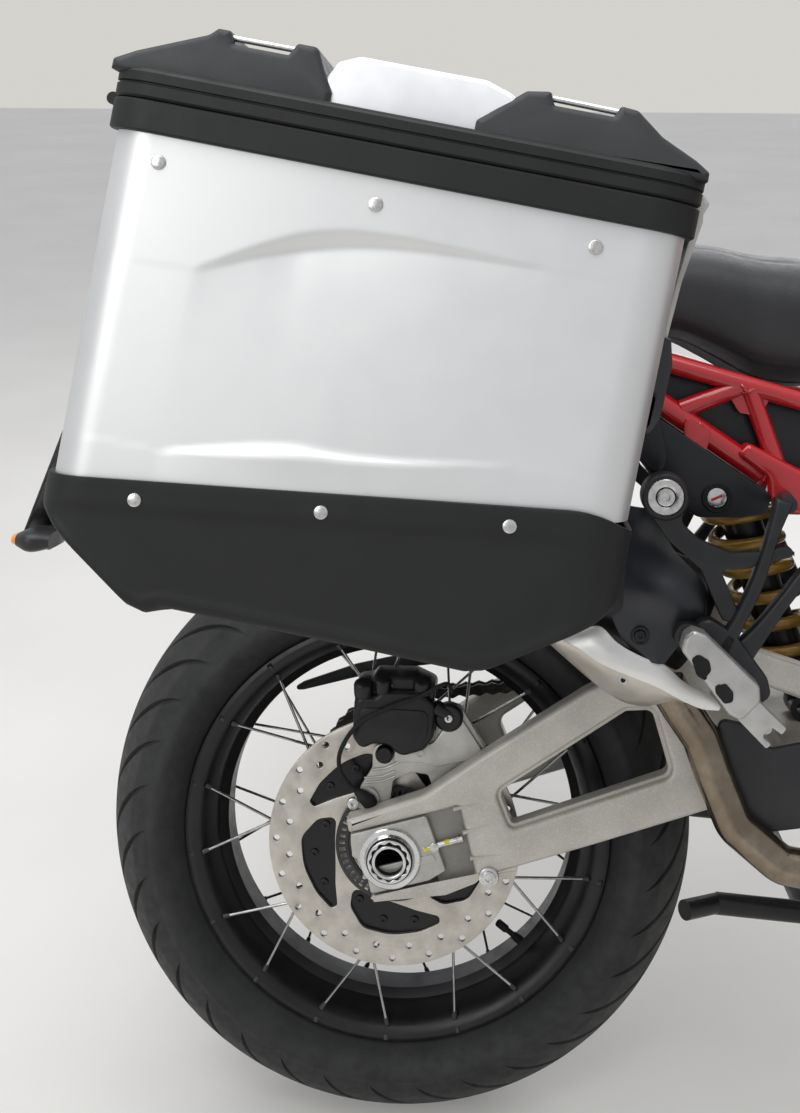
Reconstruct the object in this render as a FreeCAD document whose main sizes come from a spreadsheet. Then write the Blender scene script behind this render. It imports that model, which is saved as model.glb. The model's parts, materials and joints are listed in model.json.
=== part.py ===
"""Adventure motorcycle with aluminium side cases, leaning on its side stand.

Millimetres. The machine is modelled upright: origin at the rear axle centre, +X forward,
+Y to its left, +Z up. Every sub-part is then placed with one turn about X, the lean.
"""
import FreeCAD, Part, Sketcher
import math
import os
from FreeCAD import Placement, Rotation
from FreeCAD import Vector as V

doc = FreeCAD.newDocument("adventure_motorcycle")

# Driving dimensions: name, value in mm or degrees, what it is
DIMENSIONS = (
    ("lean", 12, "lean to the left on the side stand, degrees"),
    ("wheelbase", 1570, "rear axle to front axle"),
    ("drawn_wheelbase", 1570, "wheelbase that the places ahead of the engine's mounts are typed for"),
    ("rear_tyre_radius", 318, "rear tyre, crown"),
    ("rear_tyre_half", 85, "rear tyre, half of its section width"),
    ("rear_rim_radius", 227, "rear rim flange"),
    ("front_tyre_radius", 325, "front tyre, crown"),
    ("front_tyre_half", 60, "front tyre, half of its section width"),
    ("front_rim_radius", 252, "front rim flange"),
    ("rear_hub_half", 62, "rear hub, half of its length"),
    ("front_hub_half", 54, "front hub, half of its length"),
    ("rake", 24.7, "steering axis from the vertical, degrees"),
    ("fork_offset", 40, "fork tubes ahead of the steering axis"),
    ("fork_half", 105, "fork tube from the middle plane"),
    ("fork_outer_radius", 29, "upper fork tube"),
    ("fork_inner_radius", 23, "lower fork tube"),
    ("fork_foot_radius", 26, "fork foot round the axle"),
    ("stem_radius", 20, "steering stem"),
    ("running_gap", 0.08, "shaft in its bore, on the radius"),
    ("seat_gap", 0.3, "between pieces that rest on each other"),
    ("rear_axle_radius", 17.5, "hollow rear axle, outside"),
    ("rear_axle_bore", 14.5, "hollow rear axle, bore radius"),
    ("front_axle_radius", 12.5, "hollow front axle, outside"),
    ("front_axle_bore", 9, "hollow front axle, bore radius"),
    ("arm_right_inner", 104, "right arm of the swingarm, inner face"),
    ("arm_right_outer", 132, "right arm of the swingarm, outer face"),
    ("arm_left_inner", 119, "left arm of the swingarm, inner face"),
    ("arm_left_outer", 145, "left arm of the swingarm, outer face"),
    ("pivot_x", 575, "swingarm pivot ahead of the rear axle"),
    ("pivot_z", 105, "swingarm pivot above the rear axle"),
    ("pivot_radius", 15, "swingarm pivot shaft"),
    ("rear_disc_radius", 132.5, "rear brake disc"),
    ("rear_disc_side", 84, "rear brake disc from the middle plane"),
    ("disc_thickness", 6, "brake discs"),
    ("front_disc_radius", 165, "front brake discs"),
    ("front_disc_side", 70, "front brake disc from the middle plane"),
    ("spoke_radius", 2.2, "wheel spokes"),
    ("chain_side", 104, "chain line from the middle plane"),
    ("chain_half_width", 10, "half of the chain's width"),
    ("chain_depth", 15, "depth of the chain's links"),
    ("chain_pitch", 15.875, "chain, pin to pin"),
    ("rear_sprocket_radius", 103, "rear sprocket, tips"),
    ("front_sprocket_radius", 40, "front sprocket, tips"),
    ("front_sprocket_x", 648, "front sprocket ahead of the rear axle"),
    ("front_sprocket_z", 130, "front sprocket above the rear axle"),
    ("case_length", 441, "side case body along the machine"),
    ("case_depth", 205, "side case body across the machine"),
    ("case_outer", 500, "side case, outer face from the middle plane"),
    ("case_drop", 350, "side case, rim down to its floor"),
    ("case_tilt", 10.3, "side case, nose down, degrees"),
    ("case_x", -186, "side case, rear corner of its rim"),
    ("case_z", 698, "side case, rear corner of its rim"),
    ("case_wall", 4, "side case walls"),
    ("case_corner", 32, "side case, corner radius seen from above"),
    ("crease_depth", 2.4, "side case, depth of its pressed creases"),
    ("base_rear", 267, "side case, rim down to the base's edge at its rear"),
    ("base_front", 209, "side case, rim down to the base's edge at its front"),
    ("rim_rise", 24, "side case rim and lid band, each"),
    ("lid_rise", 88, "side case lid, top of its handle mouldings over the rim's foot"),
    ("hinge_radius", 5, "side case lid, hinge rolls"),
    ("hinge_pin_radius", 2.5, "side case lid, hinge pin"),
    ("tube_radius", 13, "rear subframe tubes"),
    ("subframe_side", 150, "rear subframe tubes from the middle plane"),
    ("spring_radius", 34.5, "shock absorber, coil of its spring"),
    ("spring_wire", 6.5, "shock absorber, wire radius of its spring"),
    ("stand_foot_x", 715, "side stand foot"),
    ("stand_foot_y", 335, "side stand foot, to the left"),
    ("rear_rest", "=(rear_tyre_radius - rear_tyre_half) * cos(lean * 1 deg) + rear_tyre_half",
     "rear axle over the floor: the crown is a circle of that half width"),
    ("front_rest", "=(front_tyre_radius - front_tyre_half) * cos(lean * 1 deg) + front_tyre_half",
     "front axle over the floor"),
    ("front_axle_z", "=(front_rest - rear_rest) / cos(lean * 1 deg)", "front axle over the rear one, upright"),
)
sheet = doc.addObject("Spreadsheet::Sheet", "Dimensions")
for row, (alias, value, meaning) in enumerate(DIMENSIONS, start=1):
    sheet.set(f"A{row}", meaning)
    sheet.set(f"B{row}", str(value))
    sheet.setAlias(f"B{row}", alias)
doc.recompute()


class Size:
    """A length worked out from the sheet: its value now, and the expression that keeps it there."""

    def __init__(self, value, words):
        self.value = float(value)
        self.words = words

    def joined(self, other, sign, value):
        return Size(value, f"({words(self)} {sign} {words(other)})")

    def __add__(self, other):
        return self.joined(other, "+", self.value + number(other))

    def __sub__(self, other):
        return self.joined(other, "-", self.value - number(other))

    def __rsub__(self, other):
        return Size(number(other) - self.value, f"({words(other)} - {self.words})")

    def __mul__(self, other):
        return self.joined(other, "*", self.value * number(other))

    def __neg__(self):
        return Size(-self.value, f"(0 - {self.words})")

    __radd__ = __add__
    __rmul__ = __mul__


def number(term):
    """Value of a Size or a plain number."""
    return term.value if isinstance(term, Size) else float(term)


def words(term):
    """Expression of a Size or a plain number."""
    return term.words if isinstance(term, Size) else repr(float(term))


class Cells:
    """The sheet's values by their alias, as plain numbers."""

    def __getattr__(self, alias):
        return float(sheet.get(alias))


class BoundCells:
    """The sheet's cells by their alias, as sizes that bind a property to them."""

    def __getattr__(self, alias):
        return Size(sheet.get(alias), "Dimensions." + alias)


size = Cells()
cell = BoundCells()
subparts = []

# Places worked out from the driving dimensions
lean_angle = math.radians(size.lean)
rake_angle = math.radians(size.rake)
LEAN = Placement(V(0, 0, 0), Rotation(V(1, 0, 0), -size.lean))
front_axle = V(size.wheelbase, 0, size.front_axle_z)
fork_way = V(-math.sin(rake_angle), 0, math.cos(rake_angle))
fork_ahead = V(math.cos(rake_angle), 0, math.sin(rake_angle))
steering_foot = front_axle - fork_ahead * size.fork_offset
case_outer = -cell.case_outer
case_inner = case_outer + cell.case_depth


def floor_z(side):
    """Height of the floor in the upright machine's frame, at a distance to the left."""
    return (side * math.sin(lean_angle) - size.rear_rest) / math.cos(lean_angle)


def on_steering(along, ahead=0.0, side=0.0):
    """A point given along the steering axis from the axle's level, ahead of it and to the left."""
    return steering_foot + fork_way * along + fork_ahead * ahead + V(0, side, 0)


# The engine's mounts stay with the swingarm; what is ahead of the head goes with the fork
MOUNTS_X = 705
grown = size.wheelbase - size.drawn_wheelbase
head_x = on_steering(640).x
share = (head_x - MOUNTS_X) / (head_x - grown - MOUNTS_X)


def ahead(x):
    """A typed place along the machine, stretched between the engine's mounts and the head."""
    if x <= MOUNTS_X:
        return x
    if x <= head_x - grown:
        return MOUNTS_X + (x - MOUNTS_X) * share
    return x + grown


def stretched(rows):
    """Rows whose first number is a typed place along the machine."""
    return [(ahead(row[0]),) + tuple(row[1:]) for row in rows]


def with_fork(points):
    """Typed places that go with the fork as it is."""
    return [(x + grown, y, z) for x, y, z in points]


# Objects of the document: bodies from sketches, primitives, booleans, and forms of their own
def bind(thing, path, term):
    """Ties one property of an object to the sheet, where its size comes from there."""
    if isinstance(term, Size):
        thing.setExpression(path, term.words)


def corner_arc(back_place, here, onward_place, radius):
    """Start, middle and end of the arc that rounds a corner."""
    back = (back_place - here).normalize()
    onward = (onward_place - here).normalize()
    half = back.getAngle(onward) / 2
    reach = radius / math.tan(half)
    middle = here + (back + onward).normalize() * (radius / math.sin(half) - radius)
    return here + back * reach, middle, here + onward * reach


def arc_between(start, end, radius):
    """Middle of the arc that bulges to the right of the way from start to end."""
    chord = end - start
    out = V(chord.y, -chord.x, 0).normalize()
    sag = radius - math.sqrt(radius * radius - chord.Length ** 2 / 4)
    return (start + end) * 0.5 + out * sag


def add_arc(sketch, start, middle, end):
    """Arc through three places, drawn against the clock as sketches keep it, and its ends' numbers."""
    if (middle - start).cross(end - middle).z > 0:
        return sketch.addGeometry(Part.Arc(start, middle, end)), 1, 2
    return sketch.addGeometry(Part.Arc(end, middle, start)), 2, 1


def add_loop(sketch, outline):
    """Closed loop in a sketch: corners (x, z, radius), each dimensioned from the sketch's origin.

    A fourth number makes the run to the next corner an arc of that radius."""
    count = len(outline)
    places = [V(number(row[0]), number(row[1]), 0) for row in outline]
    arcs = {}
    for index, row in enumerate(outline):
        if number(row[2]) > 0:
            arcs[index] = corner_arc(places[index - 1], places[index], places[(index + 1) % count],
                                     number(row[2]))
    runs, rules, bound = [], [], []

    def dimension(geometry, spot, index):
        for kind, which in (("DistanceX", 0), ("DistanceY", 1)):
            bound.append((len(rules), outline[index][which]))
            rules.append(Sketcher.Constraint(kind, -1, 1, geometry, spot, places[index][which]))

    for index in range(count):
        onward = (index + 1) % count
        start = arcs[index][2] if index in arcs else places[index]
        end = arcs[onward][0] if onward in arcs else places[onward]
        if len(outline[index]) > 3:
            radius = number(outline[index][3])
            run, first_end, last_end = add_arc(sketch, start, arc_between(start, end, radius), end)
            bound.append((len(rules), outline[index][3]))
            rules.append(Sketcher.Constraint("Radius", run, radius))
        else:
            run, first_end, last_end = sketch.addGeometry(Part.LineSegment(start, end)), 1, 2
        runs.append((run, first_end, last_end))
    for index in range(count):
        (before, _, before_end), (run, run_start, _) = runs[index - 1], runs[index]
        if index not in arcs:
            rules.append(Sketcher.Constraint("Coincident", before, before_end, run, run_start))
            dimension(run, run_start, index)
            continue
        arc, arc_start, arc_end = add_arc(sketch, *arcs[index])
        corner = sketch.addGeometry(Part.Point(places[index]), True)
        dimension(corner, 1, index)
        rules += [Sketcher.Constraint("PointOnObject", corner, 1, run),
                  Sketcher.Constraint("PointOnObject", corner, 1, before),
                  Sketcher.Constraint("Tangent", before, before_end, arc, arc_start),
                  Sketcher.Constraint("Tangent", run, run_start, arc, arc_end)]
        bound.append((len(rules), outline[index][2]))
        rules.append(Sketcher.Constraint("Radius", arc, number(outline[index][2])))
    first = sketch.ConstraintCount
    sketch.addConstraint(rules)
    for place, term in bound:
        bind(sketch, f"Constraints[{first + place}]", term)


def sketched_body(loops, placement, bindings, name):
    """Body with one sketch of loops, placed with its bound coordinates."""
    body = doc.addObject("PartDesign::Body", name)
    sketch = body.newObject("Sketcher::SketchObject", name + "Sketch")
    for loop in loops:
        add_loop(sketch, loop)
    sketch.Placement = placement
    for path, term in bindings:
        bind(sketch, path, term)
    return body, sketch


def padded(body, sketch, length, name):
    """The body's sketch padded by a length."""
    pad = body.newObject("PartDesign::Pad", name + "Pad")
    pad.Profile = sketch
    pad.Length = number(length)
    bind(pad, "Length", length)
    return body


def side_plate(outline, near, far, windows=(), name="Plate"):
    """Plate seen from the side: outline corners (x, z, radius), padded between two distances."""
    if number(near) > number(far):
        near, far = far, near
    place = Placement(V(0, number(far), 0), Rotation(V(1, 0, 0), 90))
    body, sketch = sketched_body([outline, *windows], place, [("Placement.Base.y", far)], name)
    return padded(body, sketch, far - near, name)


def level_block(outline, low, high, name="Block"):
    """Block seen from above: outline corners (x, y, radius), padded between two heights."""
    place = Placement(V(0, 0, number(low)), Rotation())
    body, sketch = sketched_body([outline], place, [("Placement.Base.z", low)], name)
    return padded(body, sketch, high - low, name)


def revolved(profile, x=0, z=0, name="Ring"):
    """Ring turned about a wheel's axis: profile corners (y, radius, corner radius)."""
    place = Placement(V(number(x), 0, number(z)), Rotation(V(1, 1, 1), 120))
    body, sketch = sketched_body([profile], place, [("Placement.Base.x", x), ("Placement.Base.z", z)], name)
    turn = body.newObject("PartDesign::Revolution", name + "Turn")
    turn.Profile = sketch
    turn.ReferenceAxis = (sketch, ["H_Axis"])
    turn.Angle = 360
    return body


def across(x, z, radius, near, far, name="Bar"):
    """Cylinder across the machine between two distances from its middle plane."""
    if number(near) > number(far):
        near, far = far, near
    bar = doc.addObject("Part::Cylinder", name)
    bar.Placement = Placement(V(number(x), number(near), number(z)), Rotation(V(1, 0, 0), -90))
    bar.Radius, bar.Height = number(radius), number(far - near)
    for path, term in (("Radius", radius), ("Height", far - near), ("Placement.Base.x", x),
                       ("Placement.Base.y", near), ("Placement.Base.z", z)):
        bind(bar, path, term)
    return bar


def rod(start, end, radius, name="Rod"):
    """Straight round bar between two places."""
    way = V(*end) - V(*start)
    bar = doc.addObject("Part::Cylinder", name)
    bar.Placement = Placement(V(*start), Rotation(V(0, 0, 1), way))
    bar.Radius, bar.Height = number(radius), way.Length
    bind(bar, "Radius", radius)
    return bar


def form(shape, name="Form"):
    """Object of a shape that is swept or lofted."""
    made = doc.addObject("Part::Feature", name)
    made.Shape = shape
    return made


def fuse(*parts):
    """The parts as one, with their seams taken out."""
    made = doc.addObject("Part::MultiFuse", "Union")
    made.Shapes = list(parts)
    made.Refine = True
    return made


def less(base, *tools):
    """The base with the tools cut out of it, one after the other."""
    for tool in tools:
        made = doc.addObject("Part::Cut", "Cut")
        made.Base, made.Tool = base, tool
        base = made
    return base


def common(first, second):
    """What two parts share."""
    made = doc.addObject("Part::Common", "Shared")
    made.Base, made.Tool = first, second
    return made


def mirrored(part):
    """The same part on the other side of the machine."""
    made = doc.addObject("Part::Mirroring", "Mirrored")
    made.Source, made.Normal = part, V(0, 1, 0)
    return made


def group(*parts):
    """Parts kept together as they are."""
    made = doc.addObject("Part::Compound", "Group")
    made.Links = list(parts)
    return made


def both(part):
    """The part and its mirror image, which don't touch."""
    return group(part, mirrored(part))


def subpart(label, part):
    """Sub-part made of that object, leaning with the machine."""
    if not part.Placement.isIdentity() or part.TypeId == "Part::Cylinder":
        part = group(part)
    part.Label = label
    part.Placement = LEAN
    part.setExpression("Placement.Rotation.Angle", "-Dimensions.lean")
    subparts.append(part)
    return part


# Shapes for the forms
def rounded(points, closed=True):
    """Wire of straight runs joined by tangent arcs; each point is (place, corner radius)."""
    count = len(points)
    corners = []
    for index, (here, radius) in enumerate(points):
        if radius == 0 or (not closed and index in (0, count - 1)):
            corners.append((here, None, here))
        else:
            corners.append(corner_arc(points[index - 1][0], here, points[(index + 1) % count][0], radius))
    edges = []
    for index, (start, middle, end) in enumerate(corners):
        if middle is not None:
            edges.append(Part.Arc(start, middle, end).toShape())
        if closed or index < count - 1:
            following = corners[(index + 1) % count][0]
            if end.distanceToPoint(following) > 1e-4:
                edges.append(Part.LineSegment(end, following).toShape())
    return Part.Wire(edges)


def pipe(points, radius, bend, name="Tube"):
    """Round tube through the points, each inner corner an arc of the bend radius."""
    path = rounded([(V(*point), bend) for point in points], closed=False)
    start = V(*points[0])
    way = V(*points[1]) - start
    return form(path.makePipeShell([Part.Wire(Part.makeCircle(number(radius), start, way))], True, False), name)


def bent_sheet(points, bend, thickness, near, far, name="Sheet"):
    """Sheet bent along a path seen from the side, points (x, z), between two distances."""
    path = rounded([(V(x, near, z), bend) for x, z in points], closed=False)
    start, second = (V(x, near, z) for x, z in points[:2])
    normal = (second - start).cross(V(0, 1, 0)).normalize() * (thickness / 2)
    width = V(0, far - near, 0)
    corners = (start - normal, start + normal, start + normal + width, start - normal + width)
    return form(path.makePipeShell([Part.makePolygon(corners + corners[:1])], True, False), name)


def section(x, half, low, high, corner, side=0.0):
    """Rounded rectangle across the machine, for lofts along it."""
    places = ((side - half, low), (side + half, low), (side + half, high), (side - half, high))
    return rounded([(V(x, y, z), corner) for y, z in places])


def loft(rows, ruled=False, name="Loft"):
    """Loft of the sections given by rows of section()'s values, stretched with the machine."""
    return form(Part.makeLoft([section(*row) for row in stretched(rows)], True, ruled), name)


# Wheels
def tyre(radius, half, rim_radius, x, z, name):
    """Tyre: crown arc, sidewalls and beads on the rim's seat."""
    seat = rim_radius - 11 + cell.seat_gap
    bead, edge = half * 0.66, half * 0.98
    shoulder = radius - half + half * 0.199
    wall = half * 0.6
    return revolved([(-bead, seat, 0), (bead, seat, 0), (bead, rim_radius + 1.5, 0, wall),
                     (edge, shoulder, 0, half), (-edge, shoulder, 0, wall), (-bead, rim_radius + 1.5, 0)],
                    x, z, name)


def wire_wheel(rim_radius, half, hub, x, z, name):
    """Rim, hub and 36 crossed spokes in one piece, 18 from each side of the rim."""
    seat = rim_radius - 11
    bead = half * 0.66 + cell.seat_gap
    lip = bead + 5
    rim = revolved([(-lip, rim_radius, 2), (-lip, seat - 4, 4), (-bead * 0.45, seat - 8, 4),
                    (-bead * 0.35, seat - 17, 4), (bead * 0.35, seat - 17, 4),
                    (bead * 0.45, seat - 8, 4), (lip, seat - 4, 4), (lip, rim_radius, 2),
                    (bead, rim_radius, 1), (bead, seat, 0), (bead * 0.5, seat, 3),
                    (bead * 0.4, seat - 10, 3), (-bead * 0.4, seat - 10, 3),
                    (-bead * 0.5, seat, 3), (-bead, seat, 0), (-bead, rim_radius, 1)], x, z, name + "Rim")
    end, bore, radius, flange = hub["half"], hub["bore"], hub["radius"], hub["flange"]
    edges = [(-end, bore), (-end, bore + 14), (-flange - 5, bore + 16), (-flange - 5, radius),
             (-flange + 5, radius), (-flange + 8, bore + 12), (flange - 8, bore + 12), (flange - 5, radius),
             (flange + 5, radius), (flange + 5, bore + 16), (end, bore + 14), (end, bore)]
    middle = revolved([(y, r, 0) for y, r in edges], x, z, name + "Hub")
    centre = V(number(x), 0, number(z))
    spokes = []
    for index in range(SPOKES):
        sign = -1 if index % 2 == 0 else 1
        way = 1 if index % 4 < 2 else -1
        outer = math.radians(FIRST_SPOKE + index * 360 / SPOKES)
        inner = outer + math.radians(way * SPOKE_LEAN)
        root, nipple = radius - 4, number(seat) - 2
        spokes.append(rod(
            centre + V(math.cos(inner) * root, sign * (flange + way * hub["crossing"]), math.sin(inner) * root),
            centre + V(math.cos(outer) * nipple, sign * (number(bead) + 2), math.sin(outer) * nipple),
            cell.spoke_radius, "Spoke"))
    return fuse(rim, middle, *spokes)


def disc(radius, inner, carrier, side, hub_end, bore, petals, name):
    """Brake disc with petal windows, on a bell that sits on the hub's end."""
    half = cell.disc_thickness * 0.5
    over = half + 1
    windows = []
    for index in range(petals):
        window = side_plate([(carrier, -30, 6), (inner - 14, -42, 10), (inner, -10, 10),
                             (inner - 4, 24, 10), (inner - 26, 34, 10), (carrier + 4, 12, 8)],
                            side - over, side + over, name=name + "Window")
        window.Placement = Placement(V(0, 0, 0), Rotation(V(0, 1, 0), -45 - index * 360 / petals))
        windows.append(window)
    ring = less(across(0, 0, radius, side - half, side + half, name + "Ring"), group(*windows))
    bell = across(0, 0, bore + 14, -hub_end, side, name + "Bell")
    return less(fuse(ring, bell), across(0, 0, bore, side - over, -hub_end + 1))


SPOKES, FIRST_SPOKE, SPOKE_LEAN = 36, 8, 52
rear_bore = cell.rear_axle_radius + cell.running_gap
front_bore = cell.front_axle_radius + cell.running_gap
REAR_HUB = dict(half=cell.rear_hub_half, bore=rear_bore, radius=66, flange=42, crossing=3)
FRONT_HUB = dict(half=cell.front_hub_half, bore=front_bore, radius=52, flange=36, crossing=2.4)
subpart("rear_tyre", tyre(cell.rear_tyre_radius, cell.rear_tyre_half, cell.rear_rim_radius, 0, 0,
                          "RearTyre"))
subpart("rear_wheel_rim", wire_wheel(cell.rear_rim_radius, cell.rear_tyre_half, REAR_HUB, 0, 0, "Rear"))
subpart("rear_disc", disc(cell.rear_disc_radius, 104, 56, -cell.rear_disc_side,
                           cell.rear_hub_half + cell.seat_gap, rear_bore + 10, 5, "RearDisc"))
subpart("front_tyre", tyre(cell.front_tyre_radius, cell.front_tyre_half, cell.front_rim_radius,
                           cell.wheelbase, cell.front_axle_z, "FrontTyre"))
subpart("front_wheel_rim", wire_wheel(cell.front_rim_radius, cell.front_tyre_half, FRONT_HUB,
                                      cell.wheelbase, cell.front_axle_z, "Front"))
front_discs = both(disc(cell.front_disc_radius, 128, 60, -cell.front_disc_side,
                        cell.front_hub_half + cell.seat_gap, front_bore + 6, 6, "FrontDisc"))
front_discs.Placement = Placement(front_axle, Rotation())
subpart("front_discs", front_discs)
sprocket_near = cell.chain_side - 4
sprocket_far = cell.chain_side + 4
TEETH = 42


def toothed(radius, depth, count):
    """Outline of a sprocket's teeth seen from the side."""
    rows = []
    for index in range(2 * count):
        turn = math.pi * index / count
        here = radius if index % 2 == 0 else radius - depth
        rows.append((here * math.cos(turn), here * math.sin(turn), 0))
    return rows


sprocket = less(fuse(side_plate(toothed(size.rear_sprocket_radius, 7, TEETH), sprocket_near, sprocket_far,
                                name="Teeth"),
                     across(0, 0, 48, cell.rear_hub_half + cell.seat_gap, sprocket_near)),
                across(0, 0, 30, cell.rear_hub_half - 2, sprocket_far + 12),
                group(*[across(68 * math.cos(turn), 68 * math.sin(turn), 11, sprocket_near - 1, sprocket_far + 1)
                        for turn in [math.pi / 3 * index for index in range(6)]]))
subpart("rear_sprocket", sprocket)

# Axles
subpart("rear_axle", less(
    fuse(across(0, 0, cell.rear_axle_radius, -cell.arm_right_outer - 6, cell.arm_left_outer + 8),
         across(0, 0, 26, -cell.arm_right_outer - 9, -cell.arm_right_outer - cell.seat_gap),
         across(0, 0, 24, cell.arm_left_outer + cell.seat_gap, cell.arm_left_outer + 12)),
    across(0, 0, cell.rear_axle_bore, -cell.arm_right_outer - 60, cell.arm_left_outer + 60)))
nut_side = cell.fork_half + cell.fork_foot_radius + cell.seat_gap
axle_x, axle_z = cell.wheelbase, cell.front_axle_z
subpart("front_axle", less(
    fuse(across(axle_x, axle_z, cell.front_axle_radius, -nut_side - 6, nut_side + 6),
         across(axle_x, axle_z, 18, -nut_side - 7, -nut_side),
         across(axle_x, axle_z, 18, nut_side, nut_side + 7)),
    across(axle_x, axle_z, cell.front_axle_bore, -nut_side - 60, nut_side + 60)))
axle_nut_side = number(nut_side)

# Swingarm
ARM_OUTLINE = ((-47, -38, 14), (35, -30, 60), (93, -17, 60), (203, 19, 80), (333, 64, 80),
               (590, 60, 26), (622, 100, 16), (600, 150, 26), (360, 232, 40), (290, 232, 40),
               (197, 185, 60), (91, 114, 60), (33, 70, 50), (-43, 34, 12))
REAR_WINDOW = ((106, 72, 12), (122, 33, 8), (287, 92, 12), (268, 168, 12), (236, 166, 10))
FRONT_WINDOW = ((322, 118, 12), (520, 112, 10), (486, 150, 14), (362, 192, 14), (322, 190, 12))
arm_windows = (REAR_WINDOW, FRONT_WINDOW)
inner_right, inner_left = -cell.arm_right_inner - 2, cell.arm_left_inner + 2
arms_over = cell.arm_left_outer + 10
swingarm = less(
    fuse(side_plate(ARM_OUTLINE, -cell.arm_right_outer, -cell.arm_right_inner, arm_windows, "RightArm"),
         side_plate(ARM_OUTLINE, cell.arm_left_inner, cell.arm_left_outer, arm_windows, "LeftArm"),
         side_plate(((392, 68, 10), (520, 72, 10), (520, 118, 10), (392, 122, 10)), inner_right, inner_left,
                    name="CrossBox"),
         across(cell.pivot_x, cell.pivot_z, 27, inner_right, inner_left)),
    across(0, 0, rear_bore, -arms_over, arms_over),
    across(cell.pivot_x, cell.pivot_z, cell.pivot_radius + cell.running_gap, -arms_over, arms_over))
subpart("swingarm", swingarm)


# Chain
def chain_path(grow):
    """Run round both sprockets, their tip circles grown by that much."""
    centre = V(size.front_sprocket_x, 0, size.front_sprocket_z)
    big = size.rear_sprocket_radius + 1 + grow
    small = size.front_sprocket_radius + 1 + grow
    way = V(centre).normalize()
    up = V(-way.z, 0, way.x)
    slope = (big - small) / centre.Length
    rise = math.sqrt(1 - slope * slope)
    top = way * slope + up * rise
    bottom = way * slope - up * rise
    return Part.Wire([
        Part.Arc(bottom * big, way * -big, top * big).toShape(),
        Part.LineSegment(top * big, centre + top * small).toShape(),
        Part.Arc(centre + top * small, centre + way * small, centre + bottom * small).toShape(),
        Part.LineSegment(centre + bottom * small, bottom * big).toShape()])


def chain_edge(grow, waist, links):
    """The run as a row of links: full at the pins and waisted between them."""
    pins = chain_path(grow).discretize(links * 2 + 1)[:-1]
    waists = chain_path(waist).discretize(links * 2 + 1)[:-1]
    points = [pins[index] if index % 2 == 0 else waists[index] for index in range(len(pins))]
    return Part.makePolygon(points + points[:1])


links = round(chain_path(size.chain_depth / 2).Length / size.chain_pitch)
chain = Part.makeFace([chain_edge(size.chain_depth, size.chain_depth - 2.5, links), chain_edge(0.4, 2.5, links)],
                      "Part::FaceMakerBullseye")
chain.translate(V(0, size.chain_side - size.chain_half_width, 0))
subpart("drive_chain", form(chain.extrude(V(0, 2 * size.chain_half_width, 0))))

# Stands: where they turn and how the side stand swings up
centre_pivot = V(570, 0, -48)
stand_pivot = V(618, 200, -38)
stand_foot = V(size.stand_foot_x, size.stand_foot_y, floor_z(size.stand_foot_y))
leg_way = (stand_foot - stand_pivot).normalize()
folded_way = V(-1, 0.1, 0.14).normalize()
stand_axis = leg_way.cross(folded_way).normalize()
stand_swing = math.degrees(leg_way.getAngle(folded_way))
CENTRE_PIN, SIDE_PIN = 10, 8

# Main frame: beams from the steering head, plates at the swingarm pivot
HEAD_LOW, HEAD_HIGH = 560, 760
head_way = Rotation(V(0, 0, 1), fork_way)
plates_near, plates_far = 150, 174
side = size.subframe_side
ears_near = cell.subframe_side + cell.tube_radius + cell.seat_gap
pillion_seat_low, rider_seat_low, tank_low, radiator_top = 527.7, 478, 535, 448
nacelle_back = ahead(1440)
wing_inner = 232
frame_parts = [rod(on_steering(HEAD_LOW), on_steering(HEAD_HIGH), 34, "Head"),
               across(610, 330, 16, -155, 155),
               across(cell.pivot_x, cell.pivot_z, cell.pivot_radius, -plates_far, plates_far, "PivotShaft"),
               rod(stand_pivot - stand_axis * 34, stand_pivot + stand_axis * 12, SIDE_PIN)]
for sign in (-1, 1):
    frame_parts += [
        loft(((1270, 16, 515, 632, 8, sign * 26), (1190, 14, 494, 602, 8, sign * 60),
              (1120, 14, 475, 582, 8, sign * 120), (850, 13, 385, 480, 8, sign * 160),
              (600, 12, 262, 372, 8, sign * 162)), True, "Beam"),
        side_plate(((540, 350, 20), (640, 372, 20), (705, 250, 40), (672, 20, 25), (645, -62, 14),
                    (556, -70, 14), (540, 40, 40), (530, 150, 60)), sign * plates_near, sign * plates_far,
                   name="PivotPlate"),
        across(centre_pivot.x, centre_pivot.z, CENTRE_PIN, sign * 122, sign * 155),
        side_plate(((618, 350, 8), (668, 372, 8), (660, 442, 12), (626, 442, 12)),
                   ears_near * sign, sign * plates_far, name="SubframeEar"),
        rod((ahead(960), sign * 151, 500), (ahead(960), sign * 151, tank_low - size.seat_gap), 8, "TankPost"),
        rod((ahead(1200), sign * 70, radiator_top + size.seat_gap), (ahead(1200), sign * 70, 520), 8,
            "RadiatorPost"),
        side_plate(((325, 385, 14), (355, 425, 14), (610, 346, 10), (600, 312, 10)), sign * 46, sign * 58,
                   name="ShockArm"),
        across(ahead(1065), 490, 10, sign * 126, sign * (wing_inner - size.seat_gap), "WingPeg")]
frame_parts += [across(345, 402, 8, -58, 58, "ShockPin"),
                side_plate([(place.x, place.z, 0) for place in (on_steering(690, 20), on_steering(630, 20))]
                           + [(nacelle_back - size.seat_gap, 600, 0), (nacelle_back - size.seat_gap, 640, 0)],
                           -20, 20, name="FairingStay")]
subpart("main_frame", less(fuse(*frame_parts), rod(
    on_steering(HEAD_LOW - 100), on_steering(HEAD_HIGH + 100), cell.stem_radius + cell.running_gap)))

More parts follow.
